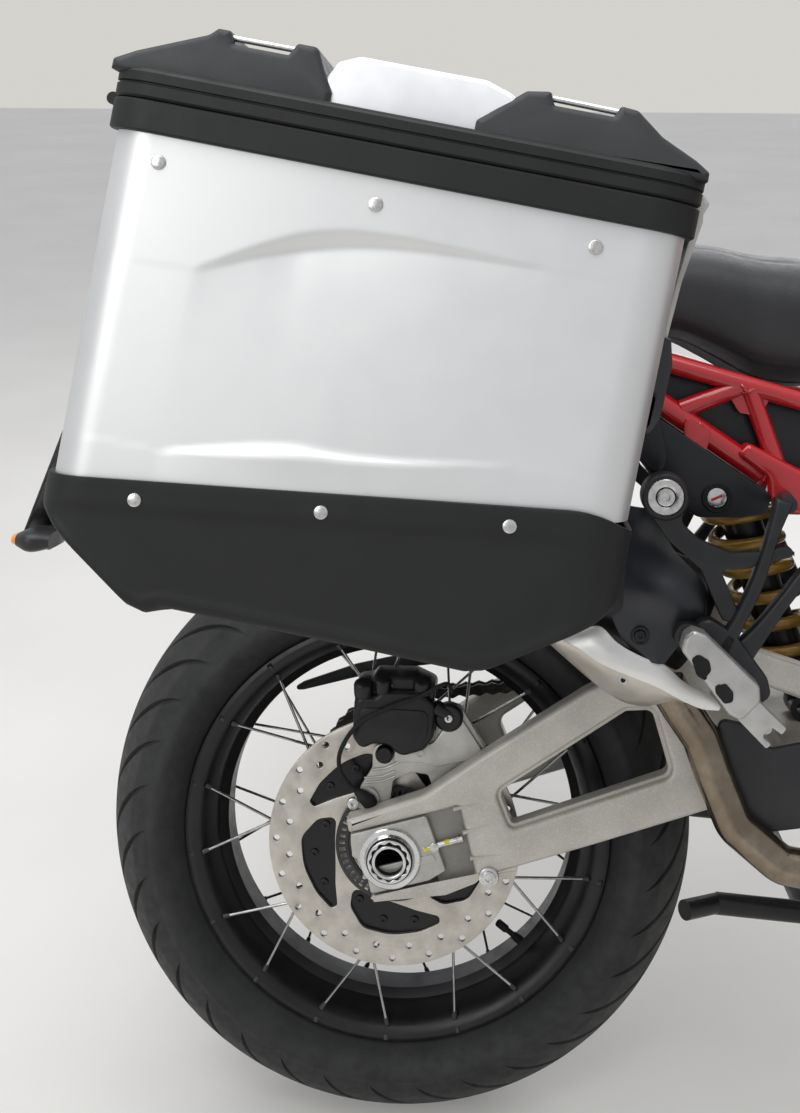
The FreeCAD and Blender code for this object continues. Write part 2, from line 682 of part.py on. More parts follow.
# Rear subframe: red tubes each side, joined by cross tubes
subframe_parts = [across(640, 425, 10, -side, side), across(250, 517.4, 10, -side, side),
                  across(-110, 584, 10, -112, 112)]
subframe_parts += [rod((640, y, 425), (640, y, rider_seat_low - size.seat_gap), 8) for y in (-60, 60)]
for sign in (-1, 1):
    y = sign * side
    subframe_parts += [
        pipe(((620, sign * 136.5, 250), (520, sign * 136.5, 309), (402, y, 379), (154, y, 545),
              (-120, sign * 110, 585)), cell.tube_radius, 60),
        pipe(((640, y, 425), (399, y, 477), (200, y, 531)), cell.tube_radius, 80),
        rod((349, y, 488), (386, y, 392), 9, "Brace"), rod((302, y, 448), (346, y, 490), 9, "Brace"),
        side_plate(((322, 496, 4), (372, 486, 4), (358, 462, 6), (342, 466, 6)), y - 4, y + 4, name="Gusset"),
        side_plate(((286, 462, 4), (312, 445, 4), (306, 420, 4), (286, 430, 4)), y,
                   y + sign * (15 - size.seat_gap), name="CoverLug")]
subpart("rear_subframe", fuse(*subframe_parts))

# Shock absorber between the swingarm's cross box and the frame, with its coil spring
shock_foot, shock_head = V(437, 0, 135), V(345, 0, 402)
shock_way = (shock_head - shock_foot).normalize()
LOW_CUP, HIGH_CUP, TURNS = 40, 232, 6


def coil():
    """Spring wound round the shock absorber between its cups."""
    height = HIGH_CUP - LOW_CUP
    helix = Part.makeHelix(height / TURNS, height, size.spring_radius)
    start = Part.Wire(Part.makeCircle(size.spring_wire, V(size.spring_radius, 0, 0), V(0, 1, 0)))
    wound = Part.Wire(helix).makePipeShell([start], True, True)
    wound.Placement = Placement(shock_foot + shock_way * LOW_CUP, Rotation(V(0, 0, 1), shock_way))
    return wound


def on_shock(low, high, radius, name="ShockBody"):
    """Round part along the shock absorber."""
    return rod(shock_foot + shock_way * low, shock_foot + shock_way * high, radius, name)


shock_top = (shock_head - shock_foot).Length
subpart("shock_absorber", less(
    fuse(across(shock_foot.x, shock_foot.z, 14, -22, 22), across(shock_head.x, shock_head.z, 16, -22, 22),
         on_shock(0, 120, 14), on_shock(100, shock_top, 22), on_shock(30, LOW_CUP + 2, 42, "LowCup"),
         on_shock(HIGH_CUP - 2, HIGH_CUP + 14, 42, "HighCup"), form(coil(), "Coil")),
    across(shock_head.x, shock_head.z, 8 + cell.running_gap, -60, 60)))

# Engine: crankcase, two banks of cylinders, covers and the output sprocket
CASE_SIDE = 130
engine_parts = [
    side_plate(stretched(((612, 30, 30), (680, -38, 40), (1010, -38, 40), (1060, 60, 40), (1000, 180, 30),
                          (760, 210, 30), (640, 190, 30))), -CASE_SIDE, 86, name="Crankcase"),
    side_plate(stretched(((705, -38, 40), (1010, -38, 40), (1060, 60, 40), (1000, 180, 30),
                          (760, 210, 30), (705, 195, 20))), 84, CASE_SIDE, name="LeftCrankcase"),
    side_plate(stretched(((900, 100, 10), (1030, 60, 10), (1120, 260, 24), (1100, 320, 24),
                          (1010, 350, 24))), -125, 125, name="FrontBank"),
    side_plate(stretched(((700, 150, 10), (840, 170, 10), (820, 400, 24), (760, 430, 24), (690, 400, 24))),
               -105, 105, name="RearBank"),
    across(cell.front_sprocket_x, cell.front_sprocket_z, 22, 80, cell.chain_side + 12, "OutputShaft"),
    across(cell.front_sprocket_x, cell.front_sprocket_z, cell.front_sprocket_radius, sprocket_near,
           sprocket_far, "OutputSprocket")]
for x, z, radius, near, far in ((770, 62, 88, -184, -128), (935, 60, 66, -172, -128),
                                (930, 55, 72, 128, 176), (800, 80, 50, 128, 160),
                                (770, 62, 60, -190, -182), (935, 60, 42, -178, -170)):
    engine_parts.append(across(ahead(x), z, radius * min(share, 1), near, far, "Cover"))
subpart("engine", fuse(*engine_parts))

# Radiator: core, end tanks and cooling strips on its front
core = ((1150, 215, 8), (1185, 205, 8), (1215, 420, 8), (1182, 428, 8))
radiator_parts = [side_plate(stretched(core), -165, 165, name="Core"),
                  across(ahead(1172), 215, 20, -165, 165),
                  across(ahead(1200), radiator_top - 20, 20, -165, 165)]
for index in range(9):
    height = 240 + index * 19
    front = 1185 + (height - 205) * 30 / 215
    radiator_parts.append(side_plate(stretched(((front - 6, height - 3, 0), (front + 4, height - 3, 0),
                                                (front + 4, height + 3, 0), (front - 6, height + 3, 0))),
                                     -155, 155, name="Strip"))
subpart("radiator", fuse(*radiator_parts))

# Skid plate
skid_path = [(ahead(x), z) for x, z in ((640, -84), (1060, -84), (1170, 30), (1190, 120))]
skid_parts = [bent_sheet(skid_path, 50, 5, -128, 128)]
skid_parts += [rod((ahead(x), sign * 104, -83), (ahead(x), sign * 104, -38 - size.seat_gap), 9)
               for x in (720, 970) for sign in (-1, 1)]
subpart("skid_plate", fuse(*skid_parts))

# Exhaust
header = [(ahead(x), y, z) for x, y, z in ((1079.8, -60, 169.9), (1130, -60, 147.3), (1118, -60, 50),
                                         (1020, -60, -60), (700, -60, -60), (592, -66, -38), (455, -178, 16))]
subpart("exhaust_pipes", fuse(
    pipe(header, 18, 40), pipe(((528, -178, 40), (400, -178, 55), (345, -178, 110)), 38, 60),
    pipe(((372, -176, 70), (322, -170, 120), (298, -172, 170), (286, -172, 206)), 22, 40)))

silencer_low, silencer_high = V(300, -172, 262), V(-30, -172, 410)
silencer_way = (silencer_high - silencer_low).normalize()
SILENCER_RADIUS = 52
subpart("silencer", less(
    fuse(rod(silencer_low, silencer_high, SILENCER_RADIUS),
         rod(silencer_high, silencer_high + silencer_way * 40, 44)),
    rod(silencer_high - silencer_way * 12, silencer_high + silencer_way * 66, 36)))


def silencer_room():
    """Room that the silencer takes, for the pieces that rest on it."""
    return rod(silencer_low - silencer_way * 66, silencer_high, SILENCER_RADIUS + cell.seat_gap)


SHIELD_SIDE = 228
shield = side_plate(((163, 231, 4), (205, 261, 6), (244, 224, 12), (301, 211, 20), (340, 181, 4),
                     (321, 177, 4), (264, 190, 12), (220, 200, 10)), -SHIELD_SIDE, -SHIELD_SIDE + 3.7,
                    name="Shield")
subpart("heat_shield", fuse(shield, less(across(207, 248, 6, -226, -180), silencer_room())))
subpart("silencer_cover", side_plate(((215, 274, 10), (251, 381, 8), (274, 324, 20), (301, 286, 20),
                                      (326, 233, 10), (300, 216, 10), (244, 228, 10)), -SHIELD_SIDE,
                                     -SHIELD_SIDE + 3.7, name="SilencerCover"))

# Pillion peg hangers and pegs
hanger = fuse(
    side_plate(((246, 393, 8), (260, 410, 8), (286, 400, 8), (340, 345, 16), (392, 392, 6),
                (404, 376, 6), (352, 300, 16), (348, 238, 8), (322, 232, 8), (306, 322, 12),
                (262, 374, 6)), -250, -230, name="Hanger"),
    across(260, 393, 20.5, -254, -230), across(394, 384, 12, -250, -163.3),
    less(across(314, 300, 9, -232, -180), silencer_room()))
subpart("peg_hangers", both(hanger))
peg = side_plate(((283, 268, 8), (300, 282, 8), (384, 196, 8), (366, 180, 8)), -276, -250.3, name="Peg")
rider_peg = fuse(side_plate(((640, 30, 8), (690, 30, 8), (690, 52, 8), (640, 52, 8)), -290, -186,
                            name="RiderPeg"),
                 across(665, 41, 9, -190, -174.3))
subpart("foot_pegs", group(peg, mirrored(peg), rider_peg, mirrored(rider_peg)))

# Seats, tank and body panels
subpart("pillion_seat", loft(((110, 95, pillion_seat_low, 610, 20), (300, 130, pillion_seat_low, 640, 20),
                              (470, 130, pillion_seat_low, 630, 20),
                              (500, 120, pillion_seat_low, 605, 20))))
subpart("rider_seat", loft(((500.3, 116, rider_seat_low, 560, 20), (640, 130, rider_seat_low, 560, 20),
                            (800, 105, rider_seat_low, 575, 20), (881.7, 75, rider_seat_low, 622, 20))))
tank_room = [loft(((960, 70, 420, 530, 0, sign * 196), (1120, 70, 480, 593, 0, sign * 172),
                   (1270, 70, 520, 644, 0, sign * 78)), True) for sign in (-1, 1)]
subpart("fuel_tank", less(
    loft(((882, 100, tank_low, 650, 30), (960, 155, tank_low, 710, 30), (1040, 160, tank_low, 722, 30),
          (1100, 110, tank_low, 712, 30)), name="Tank"), *tank_room))
subpart("tail_unit", less(loft(((100, 90, 555, 600, 10), (-60, 84, 560, 600, 10), (-235, 60, 558, 590, 8))),
                          across(-110, 584, 10 + cell.seat_gap, -120, 120)))
subpart("side_covers", both(side_plate(((232, 446, 12), (300, 366, 12), (345, 366, 12), (345, 400, 12),
                                        (262, 452, 10)), -172, -165, name="SideCover")))
subpart("plate_carrier", fuse(
    side_plate(((-190, 557.9, 4), (-232, 557.9, 4), (-345, 420, 10), (-398, 300, 8), (-392, 285, 3),
                (-376, 300, 6), (-325, 415, 10)), -24, 24, name="PlateArm"),
    side_plate(((-343.5, 422.6, 0), (-397.5, 302.6, 0), (-400.3, 303.9, 0), (-346.3, 423.9, 0)), -95, 95,
               name="PlateSheet"),
    across(-372, 318, 14, -130, 130, "Winkers")))

nacelle = loft(((1440, 150, 560, 745, 30), (1530, 145, 560, 715, 30), (1600, 100, 565, 665, 26)),
               name="Nacelle")
beak = loft(((1500, 100, 500, 570, 12), (1620, 85, 520, 600, 12), (1720, 35, 520, 555, 10)), name="Beak")
lamp_room = loft(((1559, 35, 599, 669, 15, -56), (1618.5, 27, 597, 651, 15, -56)))
subpart("front_fairing", less(fuse(nacelle, beak), lamp_room, mirrored(lamp_room)))
subpart("headlamps", both(loft(((1560, 34, 600, 668, 14, -56), (1618, 26, 598, 650, 14, -56)), name="Lamp")))
subpart("windscreen", loft(((1480, 165, 736, 740, 1.5), (1425, 185, 900, 905, 2), (1350, 170, 1030, 1035, 2),
                            (1285, 110, 1125, 1130, 2)), True, "Screen"))
wing = side_plate(stretched(((1000, 600, 30), (1100, 700, 40), (1400, 700, 30), (1440, 600, 20),
                             (1300, 470, 40), (1140, 330, 30), (1060, 380, 30))), -wing_inner - 18,
                  -wing_inner, name="Wing")
subpart("side_fairings", both(wing))
subpart("instrument_panel", fuse(
    side_plate(stretched(((1385, 790, 6), (1402, 790, 6), (1372, 900, 6), (1355, 900, 6))), -92, 92,
               name="Display"),
    side_plate(stretched(((1386, 815, 3), (1396, 790, 3), (1442, 744.6, 3), (1456, 744.6, 3))), -30, 30,
               name="DisplayStay")))
subpart("hugger", fuse(bent_sheet(((60, 328), (150, 306), (240, 245), (275, 205)), 80, 4, -92, 88),
                       across(258.3, 225.3, 8, -124, -80), across(258.3, 225.3, 8, 80, 136)))
subpart("luggage_rack", fuse(
    pipe(((60, -136, 574), (60, -136, 640), (-190, -100, 640), (-190, 100, 640), (60, 136, 640),
          (60, 136, 574)), 11, 30),
    side_plate(((-150, 634, 4), (60, 634, 4), (60, 646, 4), (-150, 646, 4)), -120, 120, name="Deck")))

# Brakes
disc_room = cell.rear_disc_radius + 6
caliper = less(side_plate(((-42, 160, 12), (-38, 108, 12), (4, 98, 12), (38, 112, 12), (46, 162, 14),
                           (20, 180, 14), (-26, 180, 14)), -118, -62, name="Caliper"),
               across(0, 0, disc_room, -cell.rear_disc_side - 8, -cell.rear_disc_side + 8))
carrier = less(side_plate(((-28, -20, 20), (30, -26, 20), (92, 104, 14), (70, 150, 10), (-36, 150, 10)),
                          -cell.arm_right_inner + cell.seat_gap, -cell.arm_right_inner + 10,
                          [((30, 60, 8), (56, 108, 8), (20, 122, 8))], "CaliperCarrier"),
               across(0, 0, rear_bore, -120, -80))
subpart("rear_caliper", fuse(caliper, carrier))

# Side cases, built at the rear corner of the rim, +X along the rim, mirrored for the left
CASE_FRAME = Placement(V(size.case_x, 0, size.case_z), Rotation(V(0, 1, 0), size.case_tilt))
FLOOR_REAR, FLOOR_FRONT = 83, 89
wall = cell.case_wall
front_end = cell.case_length
below_all, above_all = -cell.case_drop - 30, 2 * cell.rim_rise + 60


def plan(grow, low, high, name="Plan"):
    """The case's plan grown outwards by that much, as a block between two heights."""
    x0, x1 = -1 * grow, cell.case_length + grow
    y0, y1 = case_outer - grow, case_inner + grow
    corner = cell.case_corner + grow
    return level_block(((x0, y0, corner), (x1, y0, corner), (x1, y1, corner), (x0, y1, corner)), low, high,
                       name)


def lengthwise(outline, name):
    """Block seen from the side that reaches past the case on both sides."""
    return side_plate(outline, case_outer - 60, case_inner + 60, name=name)


def case_profile(grow, name):
    """The case's foot seen from the side: flat floor with both ends chamfered, and all above it."""
    floor = -cell.case_drop - grow
    return lengthwise(((-60, 60, 0), (-60, -cell.base_rear, 0), (-1 * grow, -297, 0), (FLOOR_REAR, floor, 14),
                       (front_end - FLOOR_FRONT, floor, 14), (front_end - 8 + grow, -295, 14),
                       (front_end + 19 + grow, -cell.base_front, 0), (front_end + 60, 60, 0)), name)


def over_base(name="OverBase"):
    """What lies over the base's sloping edge."""
    return lengthwise(((-60, -cell.base_rear - 8, 0), (front_end + 60, -cell.base_front + 8, 0),
                       (front_end + 60, above_all, 0), (-60, above_all, 0)), name)


def crease(stations, turned):
    """Tool for a pressed crease: triangles across, deepest in the middle and nothing at the tips.

    Each station is a share of the case's length, the ridge's height and the slope's reach; the steep
    side lies under the ridge, or over it where the crease is turned."""
    face = number(case_outer)
    sections = []
    for along, ridge, reach in stations:
        x, deep = along * size.case_length, face + size.crease_depth * reach / 19
        way = -1 if not turned else 1
        outside = face - 1.5
        sections.append(Part.makePolygon([V(x, outside, ridge), V(x, face + 0.02, ridge),
                                          V(x, deep + 0.02, ridge + way * reach),
                                          V(x, outside, ridge + way * (reach + 46)), V(x, outside, ridge)]))
    return form(Part.makeLoft(sections, True, True), "Crease")


high_crease = crease(((0.10, -100, 1), (0.23, -78, 12), (0.32, -65, 19), (0.41, -58, 19), (0.53, -58, 15),
                      (0.73, -66, 9), (0.86, -72, 1)), False)
low_crease = crease(((0.10, -226, 1), (0.23, -224, 9), (0.36, -219, 15), (0.43, -216, 15), (0.54, -213, 12),
                     (0.73, -211, 7), (0.89, -206, 1)), True)
case_body = less(common(less(plan(0, below_all, 0, "Walls"), plan(-wall, below_all - 1, 10, "Inside")),
                        over_base()), high_crease, low_crease)
case_base = less(
    common(less(plan(5, below_all, -100, "Base"), over_base()), case_profile(0, "Foot")),
    common(plan(-wall, below_all, -100, "BaseInside"), case_profile(-wall, "FootInside")))
hinge_radius = cell.hinge_radius
hinge_x, hinge_z = -12.5, cell.rim_rise + cell.seat_gap * 0.5
knuckles = {"rim": [], "lid": []}
for owner, near, far, drop in (("rim", 40, 70, -1), ("lid", 70.3, 134.7, 1), ("rim", 135, 165, -1)):
    near, far = case_outer + near, case_outer + far
    web = side_plate(((hinge_x - hinge_radius, hinge_z, 0), (-6, hinge_z + drop * 12, 0),
                      (-6, hinge_z + drop * 0.5, 0), (hinge_x, hinge_z, 0)), near, far, name="HingeWeb")
    knuckles[owner].append(fuse(across(hinge_x, hinge_z, hinge_radius, near, far, "HingeRoll"), web))
case_rim = fuse(less(plan(7, cell.seat_gap, cell.rim_rise, "Rim"), plan(-wall, -10, cell.rim_rise + 10)),
                *knuckles["rim"],
                across(hinge_x, hinge_z, cell.hinge_pin_radius, case_outer + 40, case_outer + 165, "HingePin"))

lid_low, band_top = cell.rim_rise + cell.seat_gap, 2 * cell.rim_rise
lid_parts = [plan(7, lid_low, band_top, "LidBand")]
top = cell.lid_rise
for foot, low, high, end in ((-6, 66, 142, 158),
                             (front_end - 167, front_end - 137, front_end - 56, front_end + 6)):
    tower = side_plate(((foot, band_top - 4, 0), (end, band_top - 4, 0), (high, top, 6), (low, top, 6)),
                       case_outer + 8, case_inner - 8, name="Tower")
    notch = lengthwise(((low + 14, top - 10, 3), (low + 58, top - 10, 3), (low + 58, top + 32, 0),
                        (low + 14, top + 32, 0)), "Notch")
    wire_y, wire_z = number(case_outer) + 60, size.lid_rise - 5
    lid_parts += [less(tower, notch), rod((number(low) + 2, wire_y, wire_z), (number(low) + 70, wire_y, wire_z),
                                          2.5, "Wire")]
lid_parts.append(side_plate(((150, band_top - 4, 0), (front_end - 159, band_top - 4, 0),
                             (front_end - 147, top - 8, 10), (front_end - 163, top - 2, 6),
                             (168, top - 2, 6)), case_outer + 16, case_inner - 16, name="Panel"))
lid_room = cell.case_wall + 4
case_lid = less(fuse(*lid_parts, *knuckles["lid"]), plan(-lid_room, lid_low - 10, band_top - 5, "LidInside"),
                across(hinge_x, hinge_z, cell.hinge_pin_radius + cell.running_gap, case_outer, case_inner))

latch_foot = front_end + cell.seat_gap
case_latch = fuse(
    side_plate(((front_end + 11, 32, 1), (front_end + 16, 32, 1), (front_end + 9, -90, 1),
                (front_end + 4, -90, 1)), case_outer + 80, case_outer + 120, name="Strap"),
    side_plate(((latch_foot, -60, 0), (front_end + 9, -60, 0), (front_end + 11, -150, 0),
                (latch_foot, -150, 0)), case_outer + 70, case_outer + 130, name="LatchBlock"))

for label, part in (("case_body", case_body), ("case_base", case_base), ("case_rim", case_rim),
                    ("case_lid", case_lid), ("case_latch", case_latch)):
    placed = group(part)
    placed.Placement = CASE_FRAME
    for path, term in (("Placement.Base.x", cell.case_x), ("Placement.Base.z", cell.case_z),
                       ("Placement.Rotation.Angle", cell.case_tilt)):
        bind(placed, path, term)
    subpart(label + "_right", group(placed))
    subpart(label + "_left", group(mirrored(placed)))

# Case carriers
carrier_y = number(case_inner) + 8 + size.seat_gap
subpart("case_carriers", both(pipe(((255, -166, 477), (225, carrier_y, 477), (-90, carrier_y, 523),
                                    (-110, -127.5, 583)), 8, 24, "Carrier")))

# Steering: fork, yokes, handlebar and what they carry
fork_sides = []
for sign in (-1, 1):
    def place(along):
        return on_steering(along, size.fork_offset, sign * size.fork_half)
    fork_sides.append(less(
        fuse(rod(place(420), place(812), cell.fork_outer_radius, "UpperTube"),
             rod(place(120), place(430), cell.fork_inner_radius, "LowerTube"),
             rod(place(-34), place(215), cell.fork_foot_radius, "ForkFoot")),
        across(axle_x, axle_z, cell.front_axle_radius + cell.running_gap, -200, 200)))
subpart("fork_legs", group(*fork_sides))


def yoke(low, high):
    """Fork yoke between two heights along the steering axis."""
    near, far, half = size.fork_offset - 44, size.fork_offset + 42, size.fork_half + 44
    points = ((-40, -34, 20), (-40, 34, 20), (near, half, 30), (far, half, 30), (far, -half, 30),
              (near, -half, 30))
    wire = rounded([(on_steering(low, ahead_of, y), r) for ahead_of, y, r in points])
    return less(form(Part.Face(wire).extrude(fork_way * (high - low)), "Yoke"),
                *[rod(on_steering(low - 20, size.fork_offset, sign * size.fork_half),
                      on_steering(high + 20, size.fork_offset, sign * size.fork_half),
                      cell.fork_outer_radius + cell.seat_gap) for sign in (-1, 1)])


YOKE_TOP = 796
subpart("fork_yokes", fuse(yoke(510, 552), yoke(768, YOKE_TOP),
                           rod(on_steering(500), on_steering(800), cell.stem_radius, "Stem")))

BAR_RADIUS, GRIP_RADIUS, BAR_BEND = 11, 17, 60
bar_middle = on_steering(850, 20)
half_bar = [(bar_middle.x, 95, bar_middle.z)] + with_fork(((1160, 240, 828), (1105, 430, 820)))
bar_points = [(x, -y, z) for x, y, z in reversed(half_bar)] + half_bar
bar_parts = [pipe(bar_points, BAR_RADIUS, BAR_BEND, "Bar")]
for sign in (-1, 1):
    bar_parts += [rod(on_steering(YOKE_TOP + size.seat_gap, 20, sign * 45), on_steering(850, 20, sign * 45), 14,
                      "Riser"),
                  rod(*with_fork(((1108, sign * 420, 820.5), (1148, sign * 282, 826))), GRIP_RADIUS, "Grip")]
subpart("handlebar", fuse(*bar_parts))


def bar_room():
    """Room that the handlebar and its grip take on the right."""
    return fuse(pipe(bar_points, BAR_RADIUS + size.seat_gap, BAR_BEND),
                rod(*with_fork(((1106, -426, 820.2), (1150, -276, 826.2))), GRIP_RADIUS + cell.seat_gap))


guard = pipe(with_fork(((1100, -445, 819), (1140, -462, 819), (1212, -400, 822), (1205, -250, 826),
                        (1165, -236, 830))), 9, 18, "Guard")
subpart("handguards", both(less(guard, bar_room())))
mirror_stalk = pipe(with_fork(((1160, -254, 828), (1140, -300, 950), (1130, -380, 985))), 6, 20, "Stalk")
mirror_head = form(Part.makeLoft([section(x + grown, half, low, high, 16, -400) for x, half, low, high in
                                  ((1118, 62, 960, 1030), (1140, 48, 968, 1022))], True, False), "MirrorHead")
subpart("mirrors", both(less(fuse(mirror_stalk, mirror_head), bar_room())))

shell = revolved([(-70, 330, 0), (-66, 346, 12), (66, 346, 12), (70, 330, 0), (66, 328, 0),
                  (62, 340, 8), (-62, 340, 8), (-66, 328, 0)], name="Mudguard")
mudguard_parts = [common(shell, side_plate(((0, 0, 0), (420, 300, 0), (300, 500, 0), (-350, 300, 0)), -120,
                                           120, name="MudguardArc"))]
foot_face = cell.fork_half - cell.fork_foot_radius - cell.seat_gap
for sign in (-1, 1):
    mudguard_parts.append(side_plate(((-104, 166, 4), (-62, 168, 4), (-60, 338, 4), (-120, 326, 4)),
                                     sign * 68, sign * foot_face, name="MudguardStay"))
mudguard = group(fuse(*mudguard_parts))
mudguard.Placement = Placement(front_axle, Rotation())
subpart("front_mudguard", mudguard)
half = size.fork_half
front_caliper = less(
    fuse(less(side_plate(((-190, 20, 10), (-120, 0, 10), (-98, 90, 10), (-150, 130, 10)), -104, -48,
                         name="FrontCaliper"),
              across(0, 0, cell.front_disc_radius + 6, -cell.front_disc_side - 8, -cell.front_disc_side + 8)),
         side_plate(((-130, 30, 6), (-50, 40, 6), (-66, 104, 6), (-130, 100, 6)), -104, -84, name="Lug")),
    rod(V(0, -half, 0), fork_way * 300 + V(0, -half, 0), cell.fork_foot_radius + cell.seat_gap))
front_calipers = both(front_caliper)
front_calipers.Placement = Placement(front_axle, Rotation())
subpart("front_calipers", front_calipers)

# Stands
foot_pad = doc.addObject("Part::Cylinder", "FootPad")
foot_pad.Radius, foot_pad.Height = 34, 8
foot_pad.Placement = Placement(stand_foot, Rotation(V(1, 0, 0), size.lean))
subpart("side_stand", less(
    fuse(rod(stand_pivot, stand_foot - leg_way * 6, 12, "Leg"), foot_pad,
         rod(stand_pivot - stand_axis * 7, stand_pivot + stand_axis * 7, 18, "Boss")),
    rod(stand_pivot - stand_axis * 30, stand_pivot + stand_axis * 30, SIDE_PIN + cell.running_gap)))

STAND_SIDE = 136
centre_parts = [across(420, -38, 10, -STAND_SIDE, STAND_SIDE)]
for sign in (-1, 1):
    centre_parts += [
        rod((centre_pivot.x - 13, sign * STAND_SIDE, centre_pivot.z), (330, sign * STAND_SIDE, -32), 11,
            "StandLeg"),
        rod((334, sign * (STAND_SIDE - 2), -32), (296, sign * 160, -30), 10, "StandFoot"),
        across(centre_pivot.x, centre_pivot.z, 17, sign * 124, sign * 148)]
subpart("centre_stand", less(fuse(*centre_parts), across(
    centre_pivot.x, centre_pivot.z, CENTRE_PIN + cell.running_gap, -200, 200)))

doc.recompute()
faulty = [made.Label for made in doc.Objects if "Invalid" in made.State or "Error" in made.State]
faulty += [made.Label for made in subparts if made.Shape.isNull() or not made.Shape.isValid()
           or not made.Shape.Solids]
if faulty:
    raise RuntimeError("no valid shape: " + ", ".join(faulty))
os.makedirs("parts", exist_ok=True)
for made in subparts:
    made.Shape.exportStep("parts/" + made.Label + ".step")
    print(made.Label, len(made.Shape.Solids), round(made.Shape.Volume / 1000))
print("sub-parts:", len(subparts))
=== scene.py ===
"""Looks of the adventure motorcycle with aluminium side cases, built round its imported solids.

Places are in millimetres in the upright machine's frame: x ahead of the rear axle, y to the left,
z up. leaned() turns them into metres in the frame's own axes, leaning with the machine.
"""
import json
import math

import bmesh
import bpy
import numpy as np
from mathutils import Matrix, Vector
from mathutils.geometry import delaunay_2d_cdt


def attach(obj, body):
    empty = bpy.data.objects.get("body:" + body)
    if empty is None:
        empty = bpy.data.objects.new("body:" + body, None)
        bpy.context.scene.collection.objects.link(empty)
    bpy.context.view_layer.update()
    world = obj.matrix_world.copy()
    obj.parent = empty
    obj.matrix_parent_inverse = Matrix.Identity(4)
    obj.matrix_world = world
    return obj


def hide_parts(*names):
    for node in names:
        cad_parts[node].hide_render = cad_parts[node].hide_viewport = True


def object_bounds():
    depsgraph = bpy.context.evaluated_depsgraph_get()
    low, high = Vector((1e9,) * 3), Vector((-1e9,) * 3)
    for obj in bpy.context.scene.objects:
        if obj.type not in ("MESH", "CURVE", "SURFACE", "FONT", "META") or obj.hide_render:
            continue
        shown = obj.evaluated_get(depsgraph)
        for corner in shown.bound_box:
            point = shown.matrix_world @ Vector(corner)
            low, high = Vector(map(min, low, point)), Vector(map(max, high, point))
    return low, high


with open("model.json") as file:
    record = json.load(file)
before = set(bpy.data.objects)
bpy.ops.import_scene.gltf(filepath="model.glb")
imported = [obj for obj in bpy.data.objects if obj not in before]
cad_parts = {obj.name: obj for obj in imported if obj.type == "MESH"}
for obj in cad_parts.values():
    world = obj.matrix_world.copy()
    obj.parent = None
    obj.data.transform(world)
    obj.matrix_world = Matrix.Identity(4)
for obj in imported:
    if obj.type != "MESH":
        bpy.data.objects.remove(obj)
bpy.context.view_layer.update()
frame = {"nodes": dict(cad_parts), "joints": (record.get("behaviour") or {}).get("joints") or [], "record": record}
joints = {joint["name"]: joint for joint in frame["joints"]}

# Driving dimensions, in mm and degrees, as the machine's own
REAR_TYRE = dict(radius=318, half=85, rim=227, seat=216)
FRONT_TYRE = dict(radius=325, half=60, rim=252, seat=241)
DISC_SIDE = 84
CASE_LENGTH = 441
CASE_OUTER = 500
CASE_DEPTH = 205
CASE_TILT = math.radians(10.3)
CASE_CORNER = (-186, 698)
RIM_RISE = 24

# The frame's own axes: the machine leans about X
side_way = np.array(joints["rear_wheel_spin"]["axis"])
ahead_way = np.array((1.0, 0.0, 0.0))
LEANED = np.array((ahead_way, side_way, np.cross(ahead_way, side_way)))
FRONT_AXLE = np.array(joints["front_wheel_spin"]["pos_m"]) @ LEANED.T * 1000
STEERING_WAY = np.array(joints["steering"]["axis"]) @ LEANED.T
STEERING_FOOT = np.array(joints["steering"]["pos_m"]) @ LEANED.T * 1000 - 600 * STEERING_WAY


def leaned(points):
    """Upright places in mm as places in the frame, in metres."""
    return np.asarray(points, float) @ LEANED / 1000


# Shapes: each is (points, faces), and faces is a list of arrays with one row per face
def grid(points, around=False, along=False, cap=False):
    """Surface over a grid of points (rows, columns, 3); around joins the columns' ends, along the rows'."""
    rows, columns = points.shape[:2]
    i = np.arange(rows if along else rows - 1)[:, None]
    j = np.arange(columns if around else columns - 1)[None, :]
    i2, j2 = (i + 1) % rows, (j + 1) % columns
    quads = np.stack([i * columns + j, i * columns + j2, i2 * columns + j2, i2 * columns + j], -1)
    faces = [quads.reshape(-1, 4)]
    if cap:
        first = np.arange(columns)
        faces += [first[None, ::-1], (first + (rows - 1) * columns)[None]]
    return points.reshape(-1, 3), faces


def joined(*shapes):
    """Several shapes as one."""
    points, faces, count = [], [], 0
    for some, their in shapes:
        points.append(some)
        faces += [rows + count for rows in their]
        count += len(some)
    return np.concatenate(points), faces


def moved(shape, offset):
    """The shape shifted by an offset."""
    return shape[0] + np.asarray(offset, float), shape[1]


def mirrored(shape):
    """The shape on the other side of the machine; make() turns its faces outwards again."""
    return shape[0] * (1, -1, 1), shape[1]


def both(shape):
    """The shape and its mirror image."""
    return joined(shape, mirrored(shape))


def warped(shape, bend):
    """The shape with its points sent through a function of arrays x, y, z."""
    x, y, z = shape[0].T
    return np.stack(bend(x, y, z), -1), shape[1]


def unit(vectors):
    """Vectors along the last axis, cut to length 1."""
    return vectors / np.maximum(np.linalg.norm(vectors, axis=-1, keepdims=True), 1e-9)


